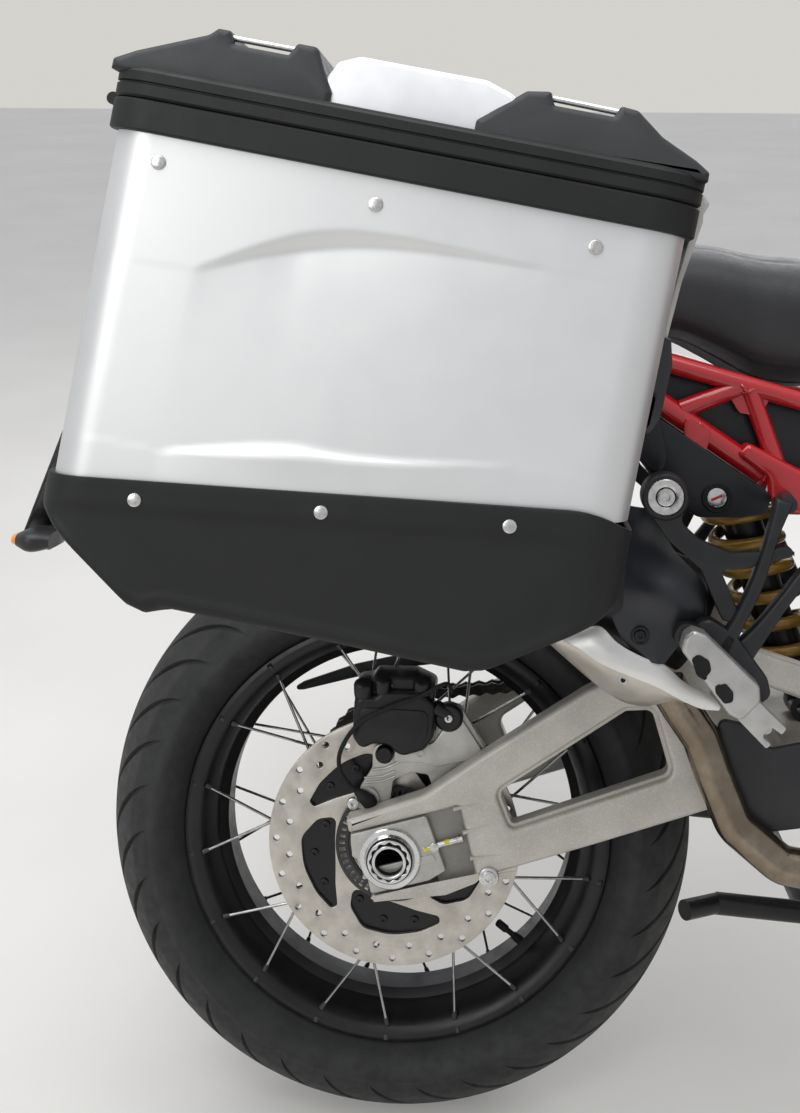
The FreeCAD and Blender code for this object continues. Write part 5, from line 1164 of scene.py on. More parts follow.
def make_subframe():
    """Red tubes each side with their braces, gussets, weld beads and cross tubes."""
    side = 150
    low = [(620, -136.5, 250), (520, -136.5, 309), (402, -side, 379), (154, -side, 545), (-120, -110, 585)]
    high = [(640, -side, 425), (399, -side, 477), (200, -side, 531)]
    half = [tube(low, 11.5, 60, 24), tube(high, 9.5, 80, 24),
            rods([(349, -side, 490), (284, -side, 466)], [(387, -side, 390), (345, -side, 491)], (9.5, 9), 24),
            side_plate(corners(((320, 496, 4), (374, 486, 4), (360, 460, 6), (340, 464, 6))), -side - 4, -side + 4,
                       (), 1.2),
            side_plate(corners(((286, 462, 4), (312, 445, 4), (306, 420, 4), (286, 430, 4))), -164.7, -side, (), 1.2),
            side_plate(corners(((336, 424, 6), (348, 436, 6), (396, 412, 8), (440, 396, 8), (440, 366, 12),
                                (400, 366, 10), (382, 366, 8), (368, 382, 8), (366, 402, 8))), -168, -138, (), 7, 6)]
    for place, way, radius in (((386, -side, 394), (37, 0, -96), 9.5), ((349, -side, 486), (37, 0, -96), 9.5),
                               ((304, -side, 450), (44, 0, 41), 9.5), ((344, -side, 488), (44, 0, 41), 9.5),
                               ((366, -side, 404), (-30, 0, 20), 13), ((240, -side, 521), (-40, 0, 11), 13)):
        half.append(bead(place, way, radius))
    level = [rods([(640, -side, 425), (250, -side, 517.4), (-110, -112, 584)],
                  [(640, side, 425), (250, side, 517.4), (-110, 112, 584)], 10, 18),
             rods([(640, -60, 425), (640, 60, 425)], [(640, -60, 477.7), (640, 60, 477.7)], 8, 14)]
    make("red_subframe", joined(*[both(shape) for shape in half], *level), "red_paint", "root",
         ["rear_subframe"], 40)
    cover = corners(((206, 496, 6), (250, 466, 10), (300, 433, 10), (372, 385, 6), (366, 366, 8), (340, 362, 10),
                     (300, 362, 14), (268, 384, 24), (240, 420, 20), (206, 450, 10)))
    behind = corners(((200, 516, 6), (330, 490, 6), (470, 460, 6), (460, 410, 6), (380, 384, 6), (200, 480, 6)))
    lid = corners(((222, 482, 4), (262, 456, 6), (270, 420, 20), (262, 398, 8), (240, 424, 8), (212, 450, 6)))
    make("side_cover_panels", both(joined(side_plate(cover, -167, -162, (), 2.0, 4),
                                          side_plate(lid, -169.5, -166, (), 1.6, 4),
                                          side_plate(behind, -138, -134, (), 1.0))),
         "smooth_plastic", "root", ["side_covers"], 36)
    lock = joined(turned(((0, 11), (0, 15), (2.5, 14), (2.5, 11)), (318, -167, 382), 40, (0, -1, 0)))
    make("cover_lock_ring", lock, "rubber")
    make("cover_lock", knob((318, -167, 382), 9.6, 1.8, edge=0.9, steps=36), "machined")
    make("cover_lock_slot", moved(side_plate(rotated(corners(((-6, -1.3, 0.5), (6, -1.3, 0.5), (6, 1.3, 0.5),
                                                              (-6, 1.3, 0.5))), 25), -169.6, -168, (), 0.3),
                                  (318, 0, 382)), "red_mark")


make_subframe()


def make_shock():
    """Shock absorber: gold spring between black cups, with its body and ends."""
    foot, head = np.array((437.0, 0, 135)), np.array((345.0, 0, 402))
    way = unit(head - foot)
    first = unit(np.cross(way, (0, 1, 0)))
    turn = np.linspace(0, 6 * 2 * math.pi, 260)
    height = np.linspace(46, 228, 260)
    second = np.cross(way, first)
    coil = (foot + way * height[:, None] + 34.5 * (first * np.cos(turn)[:, None] - second * np.sin(turn)[:, None]))
    make("shock_spring", sweep(coil, circle(6.8, 12), way), "spring_gold", "root", ["shock_absorber"], 50)
    top = np.linalg.norm(head - foot)
    body = [turned(profile, foot, 40, way, closed=False) for profile in (
        ((0, 0.01), (0, 14), (36, 14), (38, 40), (46, 41), (47, 24), (120, 21), (228, 22), (229, 41), (242, 41),
         (244, 24), (top, 22), (top, 0.01)),)]
    ends = [turned(((-22, 8.2), (-22, r), (22, r), (22, 8.2)), place, 32) for place, r in ((foot, 15), (head, 17))]
    make("shock_body", joined(*body, *ends, rods([head + (30, 60, -40)], [head + (80, 60, -150)], 24, 28)),
         "satin_black", "root", (), 36)


make_shock()


# Hangers and pegs
def strap(points, widths, near, far, edge=3.0):
    """Cast arm seen from the side: a smooth line with a width at each of its points, given thickness."""
    line = spline(np.c_[np.asarray(points, float), np.asarray(widths, float)], 26)
    middle, half = line[:, :2], line[:, 2:] / 2
    way = unit(np.gradient(middle, axis=0))
    over = np.stack([-way[:, 1], way[:, 0]], -1) * half
    return side_plate(np.concatenate([middle + over, (middle - over)[::-1]]), near, far, (), edge, 4)


def make_hangers():
    """Pillion hangers of crossing cast arms, and both pairs of pegs with rubber inserts."""
    arms = [side_plate(corners(((240, 398, 10), (262, 412, 14), (282, 394, 12), (274, 370, 12), (293, 353, 16),
                                (322, 342, 6), (346, 344, 6), (378, 352, 8), (378, 340, 6), (334, 328, 6),
                                (312, 326, 4), (334, 276, 6), (314, 280, 6), (294, 326, 6), (264, 352, 20),
                                (244, 380, 16))), -250, -233, (), 2.4, 3),
            strap(((368, 392), (358, 360), (345, 316), (324, 270), (312, 246)), (17, 12, 13, 14, 20), -254, -238, 4),
            strap(((440, 336), (396, 328), (372, 300), (352, 272), (330, 244)), (13, 14, 13, 16, 24), -248, -232, 4),
            side_plate(corners(((284, 270, 8), (300, 284, 12), (326, 268, 16), (356, 228, 8), (360, 212, 8),
                                (346, 200, 8), (330, 210, 8))), -254, -230, (), 4, 4),
            side_plate(corners(((268, 262, 8), (276, 276, 6), (296, 276, 8), (290, 240, 8))), -249, -232, (), 3, 3)]
    boss = turned(((0, 0.01), (0, 22), (20, 22), (23, 20), (23, 17.5), (20, 16.5), (20, 0.01)), (260, -231, 393),
                  48, (0, -1, 0), closed=False)
    posts = joined(rods([(314, -234, 300), (372, -250, 388)], [(314, -188, 300), (384, -163.3, 382)], (8, 8), 20))
    make("peg_hanger_arms", both(joined(boss, posts, *arms)), "hanger_black", "root", ["peg_hangers"], 40)
    ring = turned(((19, 9), (22.5, 9.4), (23.4, 11), (23.4, 16), (22, 17.4), (19, 17.4)), (260, -231, 393), 48,
                  (0, -1, 0))
    bolt = knob((260, -250, 393), 8.6, 4.6, edge=1.4, hollow=4, steps=32)
    make("hanger_bolts", both(joined(ring, bolt)), "zinc_bolt", "root", (), 36)
    body = side_plate(corners(((274, 258, 8), (277, 271, 8), (285, 277, 6), (296, 273, 6), (345, 227, 7),
                               (346, 213, 7), (329, 195, 7), (318, 200, 8))), -279, -252, (), 4.5, 6)
    block = joined(side_plate(corners(((324, 198, 2), (342, 216, 3), (352, 206, 2), (370, 189, 2), (366, 183, 2),
                                       (356, 190, 3), (348, 181, 3), (357, 174, 2), (352, 170, 2), (336, 186, 3))),
                              -276, -254, (), 1.6, 3), rods([(352, -274, 188)], [(352, -256, 188)], 5, 12))
    rider = joined(side_plate(corners(((640, 30, 8), (690, 30, 8), (690, 52, 8), (640, 52, 8))), -290, -186, (),
                              3, 4), rods([(665, -190, 41)], [(665, -174.3, 41)], 9, 20))
    make("peg_castings", both(joined(body, block, rider)), "peg_casting", "root", ["foot_pegs"], 40)
    inserts = [side_plate(corners(rows), -280.6, -276, (), 1.0, 3) for rows in (
        ((283, 251, 3), (289, 256, 5), (299, 250, 5), (301, 241, 5), (297, 236, 2), (297, 231, 2), (288, 236, 6)),
        ((304, 232, 3), (309, 228, 3), (314, 230, 3), (321, 222, 5), (321, 213, 4), (313, 211, 4), (305, 221, 5)))]
    make("peg_rubbers", both(joined(*inserts, side_plate(corners(((644, 50, 2), (686, 50, 2), (686, 58, 3),
                                                                  (644, 58, 3))), -286, -192, (), 1.5, 3))), "rubber")


make_hangers()


# Exhaust with its shields
def between(first, second, count, bulge, thickness=2.0, columns=40):
    """Curved sheet between two lines of places, bulging outwards over its height, with a thickness."""
    a, b = spline(first, columns), spline(second, columns)
    share = np.linspace(0, 1, count)[:, None, None]
    points = a * (1 - share) + b * share
    along = np.linspace(0, 1, columns)[None, :]
    points[..., 1] -= bulge(share[..., 0], along)
    inner = points + (0, thickness, 0)
    skin = np.concatenate([points, inner[:, ::-1]], 1)
    edge = grid(skin, around=True)
    caps = [np.arange(columns * 2)]
    rows = np.arange(columns - 1)
    last = (count - 1) * columns * 2
    turn = 2 * columns - 1
    near = np.stack([rows, rows + 1, turn - rows - 1, turn - rows], -1)
    return edge[0], edge[1] + [near, (near + last)[:, ::-1]] + caps[:0]


def make_exhaust():
    """Heat-browned pipes, dark silencer, bright shield and the curved black cover over it."""
    pipe = tube([(272, -174, 200), (286, -172, 177), (307, -172, 147), (320, -172, 112), (341, -174, 62),
                 (386, -178, 26), (450, -178, 16), (592, -66, -38), (700, -60, -60), (1020, -60, -60),
                 (1118, -60, 50), (1130, -60, 147.3), (1079.8, -60, 169.9)], 19, 30, 32)
    make("exhaust_run", pipe, "tinted_steel", "root", ["exhaust_pipes"], 40)
    upper = between(((188, -216, 262), (204, -222, 265), (219, -226, 252), (246, -229, 238), (264, -229, 232),
                     (282, -229, 217), (312, -226, 200), (318, -224, 192)),
                    ((168, -212, 250), (186, -222, 243), (200, -226, 234), (234, -230, 220), (258, -230, 211),
                     (285, -229, 197), (303, -226, 190), (316, -224, 189)), 10,
                    lambda share, along: 2.5 * np.sin(math.pi * share) * np.sin(math.pi * along) ** 0.5)
    make("heat_shield_sheet", upper, "shield_steel", "root", ["heat_shield"], 50)
    lower = between(((150, -206, 258), (168, -213, 250), (186, -222, 243), (200, -226, 234), (234, -230, 220),
                     (258, -230, 211), (285, -229, 197)),
                    ((150, -190, 246), (173, -190, 226), (198, -190, 205), (216, -190, 192), (232, -190, 184),
                     (262, -188, 183), (276, -184, 190)), 10,
                    lambda share, along: 6.0 * np.sin(math.pi * share) ** 0.7 + 0 * along)
    make("silencer_skirt", lower, "skirt_steel", "root", (), 50)
    make("shield_rivet", turned(((0, 2.4), (0, 4.8), (2, 4.4), (2, 2.4)), (226, -226, 216), 28, (0, -1, 0.2)),
         "zinc_bolt")
    # Black disc in the shield rivet's middle: painted shade standing for its hole.
    make("shield_hole_painted_shade", turned(((0, 0.01), (0, 2.6), (1.2, 2.6), (1.2, 0.01)), (226, -226, 216), 20, (0, -1, 0.2),
                               closed=False), "rubber")
    cover = between(((230, -208, 378), (224, -213, 338), (218, -216, 307), (214, -218, 283), (232, -222, 246),
                     (248, -226, 235)),
                    ((252, -222, 378), (268, -230, 345), (302, -231, 301), (302, -232, 282), (285, -231, 262),
                     (264, -229, 233)), 34,
                    lambda share, along: 5 * np.sin(math.pi * share)
                    + 9 * np.exp(-((along - 0.47 - 0.12 * share) / 0.12) ** 2) * np.sin(math.pi * share) ** 0.7
                    - 9 * np.exp(-((along - 0.22) / 0.14) ** 2) * share * (1 - share) * 3, 3.0, 60)
    make("silencer_cover_shell", cover, "cover_plastic", "root", ["silencer_cover"], 60)
    make("cover_bolt", joined(turned(((0, 7), (0, 9), (2, 8.6), (2, 7)), (241, -229, 259), 28, (0, -1, 0)),
                              knob((241, -229, 259), 5.4, 2.4, edge=1.2, hollow=2.4)), "satin_black")
    make("pipe_guard", side_plate(corners(((322, 166, 8), (350, 160, 10), (374, 136, 10), (420, 146, 10),
                                           (430, 62, 10), (352, 50, 10), (334, 96, 20))), -170, -160, (), 3, 3),
         "black_plastic")


make_exhaust()


# Seats
def seat(name, rows, seams):
    """Seat: a crowned body drawn in along its foot, with sewn channels along and across its top."""
    points, faces = body_loft(rows, 120, 72, 3.4)

    def sewn(x, y, z):
        """Crown that falls off with the square of the width, less narrow bell-shaped channels."""
        low, high = np.interp(x, [row[0] for row in rows], [row[3] for row in rows]), np.interp(
            x, [row[0] for row in rows], [row[4] for row in rows])
        half = np.interp(x, [row[0] for row in rows], [row[2] for row in rows])
        top = np.clip((z - low) / (high - low), 0, 1)
        share = np.clip(np.abs(y) / half, 0, 1)
        crown = 7 * top ** 3 * (1 - share ** 2)
        channel = 2.4 * np.exp(-((share - 0.64) * half / 2.6) ** 2) * top ** 3
        for place in seams:
            channel = channel + 2.2 * np.exp(-((x - place - 22 * (1 - share ** 2)) / 2.6) ** 2) * top ** 3
        piping = 1.6 * np.exp(-((z - low - (high - low) * 0.16) / 2.4) ** 2)
        return x, y + np.sign(y) * (piping - 5 * np.exp(-(top / 0.1) ** 2) * (share > 0.7)), z + crown - channel

    made = make(name, warped((points, faces), sewn), "seat_vinyl", "root", [name.replace("_cushion", "")], 60)


seat("pillion_seat_cushion", ((108, 0, 84, 535, 586), (140, 0, 108, 531, 622), (220, 0, 122, 529, 622),
                              (286, 0, 128, 529, 628), (322, 0, 128, 512, 626), (362, 0, 128, 491, 618),
                              (440, 0, 126, 484, 610), (499, 0, 116, 486, 592)), (230, 420))
seat("rider_seat_cushion", ((501, 0, 112, 481, 552), (560, 0, 128, 479, 556), (660, 0, 132, 479, 560),
                            (760, 0, 112, 479, 570), (830, 0, 90, 479, 594), (880, 0, 74, 482, 618)), (640,))

# Tail
def make_tail():
    """Tail unit, plate arm with its blank plate, lamp and turn signals, and the rear hugger."""
    tail = body_loft(((100, 0, 90, 552, 600), (20, 0, 88, 554, 602), (-100, 0, 80, 558, 602),
                      (-200, 0, 66, 560, 598), (-240, 0, 54, 562, 590)), 64, 30, 4.5)
    make("tail_moulding", tail, "black_plastic", "root", ["tail_unit"], 45)
    arm = side_plate(corners(((-186, 560, 4), (-234, 560, 6), (-346, 422, 12), (-400, 303, 8), (-396, 285, 4),
                              (-376, 300, 6), (-322, 412, 12))), -24, 24, (), 5, 5)
    neck = [rods([(-372, side * 24, 318)], [(-372, side * 104, 318)], (8, 6), 18) for side in (-1, 1)]
    back = slab(corners(((-96, 302, 8), (96, 302, 8), (96, 432, 8), (-96, 432, 8))), 0, 3, (), 1.0)
    tilt = math.atan2(130.5, 54)

    def hung(shape, offset):
        """A flat shape (across, height, depth) hung on the arm's slanting back."""
        across_way, height, depth = shape[0].T
        low = (height - 302) / math.sin(tilt)
        return np.stack([-398.5 + low * math.cos(tilt) * math.sin(tilt) - (depth + offset) * math.sin(tilt),
                         across_way, height + (depth + offset) * math.cos(tilt)], -1), shape[1]

    make("plate_arm", joined(arm, hung(back, 0), *neck), "black_plastic", "root", ["plate_carrier"], 40)
    sheet = slab(corners(((-92, 306, 6), (92, 306, 6), (92, 428, 6), (-92, 428, 6))), 3, 4.2, (), 0.4)
    make("blank_plate", hung(sheet, 0), "blank_plate")
    make("rear_signals", joined(*[body_loft(((-388, side * 118, 20, 311, 325), (-374, side * 118, 30, 306, 330),
                                             (-352, side * 118, 24, 310, 326)), 32, 14, 3) for side in (-1, 1)]),
         "black_plastic")
    lenses = [body_loft(((-394, side * 118, 14, 313, 323), (-388, side * 118, 17, 311, 325)), 24, 4, 3)
              for side in (-1, 1)]
    make("signal_lenses", joined(*lenses), "lamp_amber")
    lamp_rows = ((-252, 0, 40, 568, 590), (-242, 0, 56, 563, 594), (-232, 0, 58, 562, 594))
    make("tail_lamp", body_loft(lamp_rows, 48, 12, 5),
         "lamp_red", "root", (), 45)
    x = (60, 100, 150, 200, 240, 275)
    z = (330, 324, 306, 280, 245, 205)
    line = spline(np.c_[x, z], 40)
    columns = np.linspace(-1, 1, 25)
    points = np.stack([np.broadcast_to(line[:, :1], (40, 25)),
                       np.broadcast_to(90 * columns - 2, (40, 25)),
                       line[:, 1:] - 26 * columns ** 6 + 4 * np.cos(columns * 9)[None]], -1)
    thick = np.concatenate([points, (points - (0, 0, 3))[:, ::-1]], 1)
    guard = side_plate(corners(((-146, 99, 3), (-129, 110, 12), (-66, 133, 60), (-3, 148, 60), (60, 162, 40),
                                (170, 204, 30), (256, 236, 6), (262, 222, 6), (170, 186, 30), (60, 140, 30),
                                (-3, 131, 60), (-66, 117, 60), (-129, 100, 12))), 121, 126, (), 1.2)
    make("hugger_moulding", joined(grid(thick, around=True, cap=True), guard,
                                   rods([(258.3, -124, 225.3), (258.3, 80, 225.3)],
                                        [(258.3, -80, 225.3), (258.3, 136, 225.3)], 8, 14)),
         "black_plastic", "root", ["hugger"], 45)


make_tail()


# Bodywork ahead of the seats
def sculpted(rows, count=96, along=64, power=3.2, carve=None):
    """Body along x as a loft, its points then moved by a function of x, y, z."""
    shape = body_loft(rows, count, along, power)
    return warped(shape, carve) if carve else shape


def make_bodywork():
    """Tank, fairing with its beak, side panels with their vents, screen and lamps."""
    def tank_lines(x, y, z):
        """Hollows for the knees, and a raised line on each side of the top."""
        side = np.clip((np.abs(y) - 60) / 100, 0, 1)
        knee = 16 * np.exp(-((x - 925) / 46) ** 2) * np.exp(-((z - 600) / 60) ** 2) * side
        ridge = 4 * np.exp(-((np.abs(y) - 62) / 9) ** 2) * np.clip((z - 660) / 40, 0, 1)
        return x, y - np.sign(y) * knee, z + ridge

    tank = sculpted(((884, 0, 72, 538, 648), (915, 0, 112, 536, 690), (970, 0, 152, 548, 716),
                     (1040, 0, 156, 560, 724), (1085, 0, 128, 566, 716), (1100, 0, 92, 572, 706)),
                    carve=tank_lines)
    make("tank_shell", tank, "red_paint", "root", ["fuel_tank"], 50)
    cap = [turned(((0, 0.01), (0, 34), (5, 33), (6, 30), (6, 25), (4.5, 24), (4.5, 12), (7, 11), (7, 0.01)),
                  (1010, 0, 720), 56, (0.02, 0, 1), closed=False)]
    cap += [knob((1010 + x, y, 726), 2.2, 1.6, (0, 0, 1), 0.5, steps=10) for x, y in ring_of(8, 28)]
    make("tank_cap", joined(*cap), "satin_black")
    wing = corners(((1002, 600, 26), (1100, 698, 60), (1250, 716, 120), (1400, 696, 30), (1438, 604, 26),
                    (1300, 472, 60), (1142, 332, 26), (1062, 380, 30)), 9)
    vent = corners(((1110, 420, 10), (1150, 392, 10), (1236, 470, 10), (1196, 508, 12)), 6)
    vent2 = corners(((1216, 526, 8), (1250, 486, 8), (1300, 530, 8), (1276, 566, 8)), 6)
    skin = side_plate(wing, -250, -233, [vent, vent2], 6, 6)
    slats = [side_plate(corners(((x, z, 2), (x + 34, z - 30, 2), (x + 38, z - 25, 2), (x + 4, z + 5, 2))), -246, -236,
                        (), 1) for x, z in ((1128, 424), (1148, 444), (1168, 464), (1188, 484))]
    pegs = rods([(1065, -126, 490)], [(1065, -234, 490)], 10, 18)
    make("side_panels", both(joined(skin, pegs)), "red_paint", "root", ["side_fairings"], 40)
    make("panel_vents", both(joined(*slats, side_plate(offset_loop(counterclockwise(vent), -5), -236.5, -234, (), 0.6),
                                    side_plate(offset_loop(counterclockwise(vent2), -5), -236.5, -234, (), 0.6))),
         "black_plastic")

    def nose_lines(x, y, z):
        """Hollow on each side of the nose's ridge, deeper towards its tip and top."""
        ahead = np.clip((x - 1540) / 60, 0, 1) * np.clip((z - 640) / 40, 0, 1)
        hollow = 12 * np.exp(-((np.abs(y) - 40) / 30) ** 2) * ahead
        return x, y, z - hollow

    nose = sculpted(((1442, 0, 150, 562, 742), (1500, 0, 149, 560, 726), (1555, 0, 124, 572, 700),
                     (1600, 0, 60, 600, 664)), carve=nose_lines)
    beak = sculpted(((1470, 0, 104, 500, 566), (1560, 0, 96, 508, 578), (1640, 0, 78, 522, 582),
                     (1700, 0, 46, 528, 566), (1732, 0, 14, 534, 548)), power=2.8)
    make("nose_fairing", joined(nose, beak), "red_paint", "root", ["front_fairing"], 50)
    lens = body_loft(((1562, -58, 50, 600, 668), (1600, -56, 46, 600, 660), (1622, -54, 30, 608, 646)), 48, 20, 3)
    eye = [turned(((0, 0.01), (0, 19), (10, 17), (12, 12), (8, 6), (9, 0.01)), (1612, -54, 628), 32, (1, -0.15, 0),
                  closed=False)]
    make("headlamp_glass", both(lens), "lamp_lens", "root", ["headlamps"], 50)
    make("headlamp_eyes", both(joined(*eye)), "machined")
    rows = np.array(((1480, 160, 736, 0), (1462, 176, 800, 26), (1430, 184, 900, 44), (1385, 172, 985, 52),
                     (1340, 150, 1060, 52), (1290, 112, 1128, 40)))
    line = spline(rows, 40)
    columns = np.linspace(-1, 1, 41)
    x = line[:, :1] - line[:, 3:] * columns ** 2 * 1.2
    y = line[:, 1:2] * np.sin(columns * 1.35) / math.sin(1.35)
    z = line[:, 2:3] - 14 * columns ** 2
    skin = np.stack([x, np.broadcast_to(y, x.shape), np.broadcast_to(z, x.shape)], -1)
    thick = np.concatenate([skin, (skin - (3.5, 0, 0))[:, ::-1]], 1)
    make("screen_sheet", grid(thick, around=True, cap=True), "clear_screen", "root", ["windscreen"], 60)
    studs = [knob((1482 - 6, side * y, z), 6, 5, (1, 0, 0.2), 1, 2, 16) for side in (-1, 1)
             for y, z in ((60, 768), (110, 772))]
    make("screen_studs", joined(*studs), "satin_black")


make_bodywork()


# Steering: fork, bars, guards, mirrors, mudguard and front brakes
def along_fork(profile, side, ahead=40):
    """Round part along a fork tube: profile (along the axis, radius)."""
    return turned(profile, on_steering(0, ahead, side), 48, STEERING_WAY, closed=False)


def front_place(shape):
    """A shape given from the front axle's centre."""
    return moved(shape, FRONT_AXLE)


def make_steering():
    """Everything that turns with the bars."""
    legs = [along_fork(((-34, 0.01), (-34, 20), (-28, 25), (14, 26), (26, 25), (200, 26), (215, 24.5),
                        (218, 0.01)), s)
            for s in (-105, 105)]
    tubes = [along_fork(((214, 0.01), (214, 23), (424, 23), (424, 0.01)), s) for s in (-105, 105)]
    uppers = [along_fork(((418, 23.4), (418, 30), (424, 31), (438, 31), (440, 29), (505, 29), (812, 29),
                          (812, 0.01)), s)
              for s in (-105, 105)]
    caps = [along_fork(((812, 0.01), (812, 27), (818, 26), (818, 17), (824, 16), (824, 0.01)), s)
            for s in (-105, 105)]
    make("fork_feet", joined(*legs), "dark_casting", "steering", ["fork_legs"], 40)
    make("fork_stanchions", joined(*tubes), "machined", "steering")
    make("fork_uppers", joined(*uppers), "spring_gold", "steering", (), 40)
    make("fork_caps", joined(*caps), "satin_black", "steering", (), 40)
    middle = on_steering(850, 20)
    half = [(middle[0], 95, middle[2]), (1160, 240, 828), (1105, 430, 820)]
    line = [(x, -y, z) for x, y, z in reversed(half)] + half
    risers = rods([on_steering(796.3, 20, s) for s in (-45, 45)],
                  [on_steering(852, 20, s) for s in (-45, 45)], 14, 24)
    clamp = rods([on_steering(850, 20, -66)], [on_steering(850, 20, 66)], 17, 24)
    make("bars", joined(tube(line, 11, 60, 20, (0, 0, 1)), risers, clamp), "satin_black", "steering",
         ["handlebar"], 40)
    ends = [((1108, s * 420, 820.5), (1148, s * 282, 826)) for s in (-1, 1)]
    grips, levers, weights = [], [], []
    for far, near in ends:
        far, near = np.array(far), np.array(near)
        way = unit(near - far)
        s = np.sign(far[1])
        ridges = [(0, 0.01), (0, 16)]
        for step in range(16):
            ridges += [(6 + step * 7.5, 16.6), (8 + step * 7.5, 15.4), (11.5 + step * 7.5, 15.4)]
        ridges += [(128, 16), (130, 21), (136, 21), (136, 11), (136, 0.01)]
        grips.append(turned(ridges, far, 28, way, closed=False))
        weights.append(turned(((0, 0.01), (0, 14), (16, 15), (18, 13), (18, 0.01)), far, 28, -way, closed=False))
        levers.append(tube([(1156, s * 262, 826), (1178, s * 270, 822), (1176, s * 300, 818), (1158, s * 360, 812),
                            (1146, s * 408, 808)], 5, 10, 10, (0, 0, 1)))
        levers.append(side_plate(corners(((1146, 808, 6), (1190, 806, 8), (1190, 838, 8), (1146, 846, 6))),
                                 s * 236, s * 262, (), 4, 4))
    make("grips", joined(*grips), "rubber", "steering", (), 40)
    make("bar_weights", joined(*weights), "machined", "steering", (), 40)
    make("levers", joined(*levers), "satin_black", "steering", (), 40)
    guard = spline(((1102, -446, 812), (1130, -462, 812), (1184, -440, 812), (1216, -390, 814), (1216, -310, 820),
                    (1196, -252, 826)), 40)
    rise = np.linspace(-1, 1, 15)
    height = 34 + 14 * np.sin(np.linspace(0, math.pi, 40))
    skin = guard[:, None] + np.stack([-6 * rise[None] ** 2 + 0 * height[:, None], 0 * rise[None] + 0 * height[:, None],
                                      rise[None] * height[:, None] + 14], -1)
    thick = np.concatenate([skin, (skin - (3, -2.5, 0))[:, ::-1]], 1)
    stay = tube([(1165, -236, 830), (1190, -246, 830), (1208, -262, 826)], 8, 12, 14, (0, 0, 1))
    make("hand_shields", both(joined(grid(thick, around=True, cap=True), stay,
                                     rods([(1090, -444, 818)], [(1104, -448, 816)], 9, 16))),
         "black_plastic", "steering", ["handguards"], 50)
    stalk = tube([(1160, -254, 834), (1140, -300, 950), (1130, -380, 985)], 6, 20, 14)
    head = body_loft(((1112, -400, 66, 956, 1034), (1124, -400, 64, 957, 1033), (1142, -400, 48, 968, 1022),
                      (1150, -400, 26, 982, 1008)), 48, 18, 3.4)
    make("mirror_shells", both(joined(stalk, head)), "black_plastic", "steering", ["mirrors"], 50)
    glass = body_loft(((1110, -400, 61, 960, 1030), (1111.9, -400, 61.5, 959.5, 1030.5)), 48, 3, 3.4)
    make("mirror_glass", both(glass),
         "mirror_glass", "steering", (), 30)


make_steering()


def make_mudguard():
    """Front mudguard: a crowned sheet over the tyre with its side stays."""
    turn = np.radians(np.linspace(38, 142, 60))
    across_way = np.linspace(-1, 1, 31)
    width = 66 - 16 * np.abs(np.linspace(-1, 1, 60)) ** 3
    y = width[:, None] * across_way[None]
    drop = 20 * np.abs(across_way) ** 3.2
    radius = 352 - drop[None] - 0 * y + 3 * np.exp(-(across_way / 0.12) ** 2)[None]
    outer = np.stack([radius * np.cos(turn)[:, None], y, radius * np.sin(turn)[:, None]], -1)
    inner = outer * ((radius - 3.5) / radius)[..., None] ** np.array((1, 0, 1))
    shell = grid(np.concatenate([outer, inner[:, ::-1]], 1), around=True, cap=True)
    stay = corners(((-104, 166, 6), (-62, 168, 6), (-56, 342, 10), (-124, 328, 10)))
    stays = side_plate(stay, -78.6, -66, (), 2.5, 4)
    make("mudguard_shell", front_place(joined(shell, both(stays))), "black_plastic", "steering",
         ["front_mudguard"], 50)


make_mudguard()


def make_front_brakes():
    """Two front discs on black carriers, and calipers clamped on the fork's feet."""
    petal = ((-2, 118, 8), (10, 125, 20), (24, 127, 40), (38, 126, 12), (46, 122, 4), (44, 112, 4), (30, 92, 30),
             (16, 72, 14), (2, 70, 8))
    right = disc(-70, 165, 56, petal, 6, 20, 24)
    make("front_discs_ground", front_place(both(right)), "front_disc_steel", "front_wheel", ["front_discs"], 40)
    bell = turned(((-67.3, 62), (-64, 62), (-63, 44), (-54.3, 30), (-54.3, 19), (-72, 19), (-72.6, 56), (-67.3, 58)))
    heads = [knob((x, -72.6, z), 5, 3, edge=1.2, hollow=2.4, steps=16) for x, z in ring_of(6, 40, 10)]
    make("front_disc_bells", front_place(both(bell)), "gloss_black", "front_wheel")
    make("front_disc_bolts", front_place(both(joined(*heads))), "zinc_bolt", "front_wheel")
    outline = corners(((-196, 24, 14), (-168, 4, 14), (-126, 2, 10), (-104, 40, 20), (-96, 88, 10),
                       (-120, 112, 10), (-152, 132, 12), (-172, 96, 30)))
    half = side_plate(outline, -106, -80, (), 7, 6)
    inner = side_plate(outline, -62, -46, (), 5, 4)
    bridge = side_plate(corners(((-196, 26, 8), (-168, 6, 6), (-170, 60, 8), (-150, 130, 10), (-164, 128, 8),
                                 (-184, 90, 20))), -82, -58, (), 3, 3)
    lug = side_plate(corners(((-130, 30, 6), (-84, 34, 6), (-92, 104, 6), (-130, 100, 6))), -104, -86, (), 2, 3)
    make("front_caliper_bodies", front_place(both(joined(half, inner, bridge, lug))), "satin_black", "steering",
         ["front_calipers"], 40)
    pins = [knob((x, -105, z), 5.5, 4, edge=1.2, hollow=2.6, steps=18) for x, z in ((-176, 30), (-130, 22),
                                                                                  (-118, 92), (-152, 112))]
    make("front_caliper_bolts", front_place(both(joined(*pins))), "zinc_bolt", "steering")


make_front_brakes()


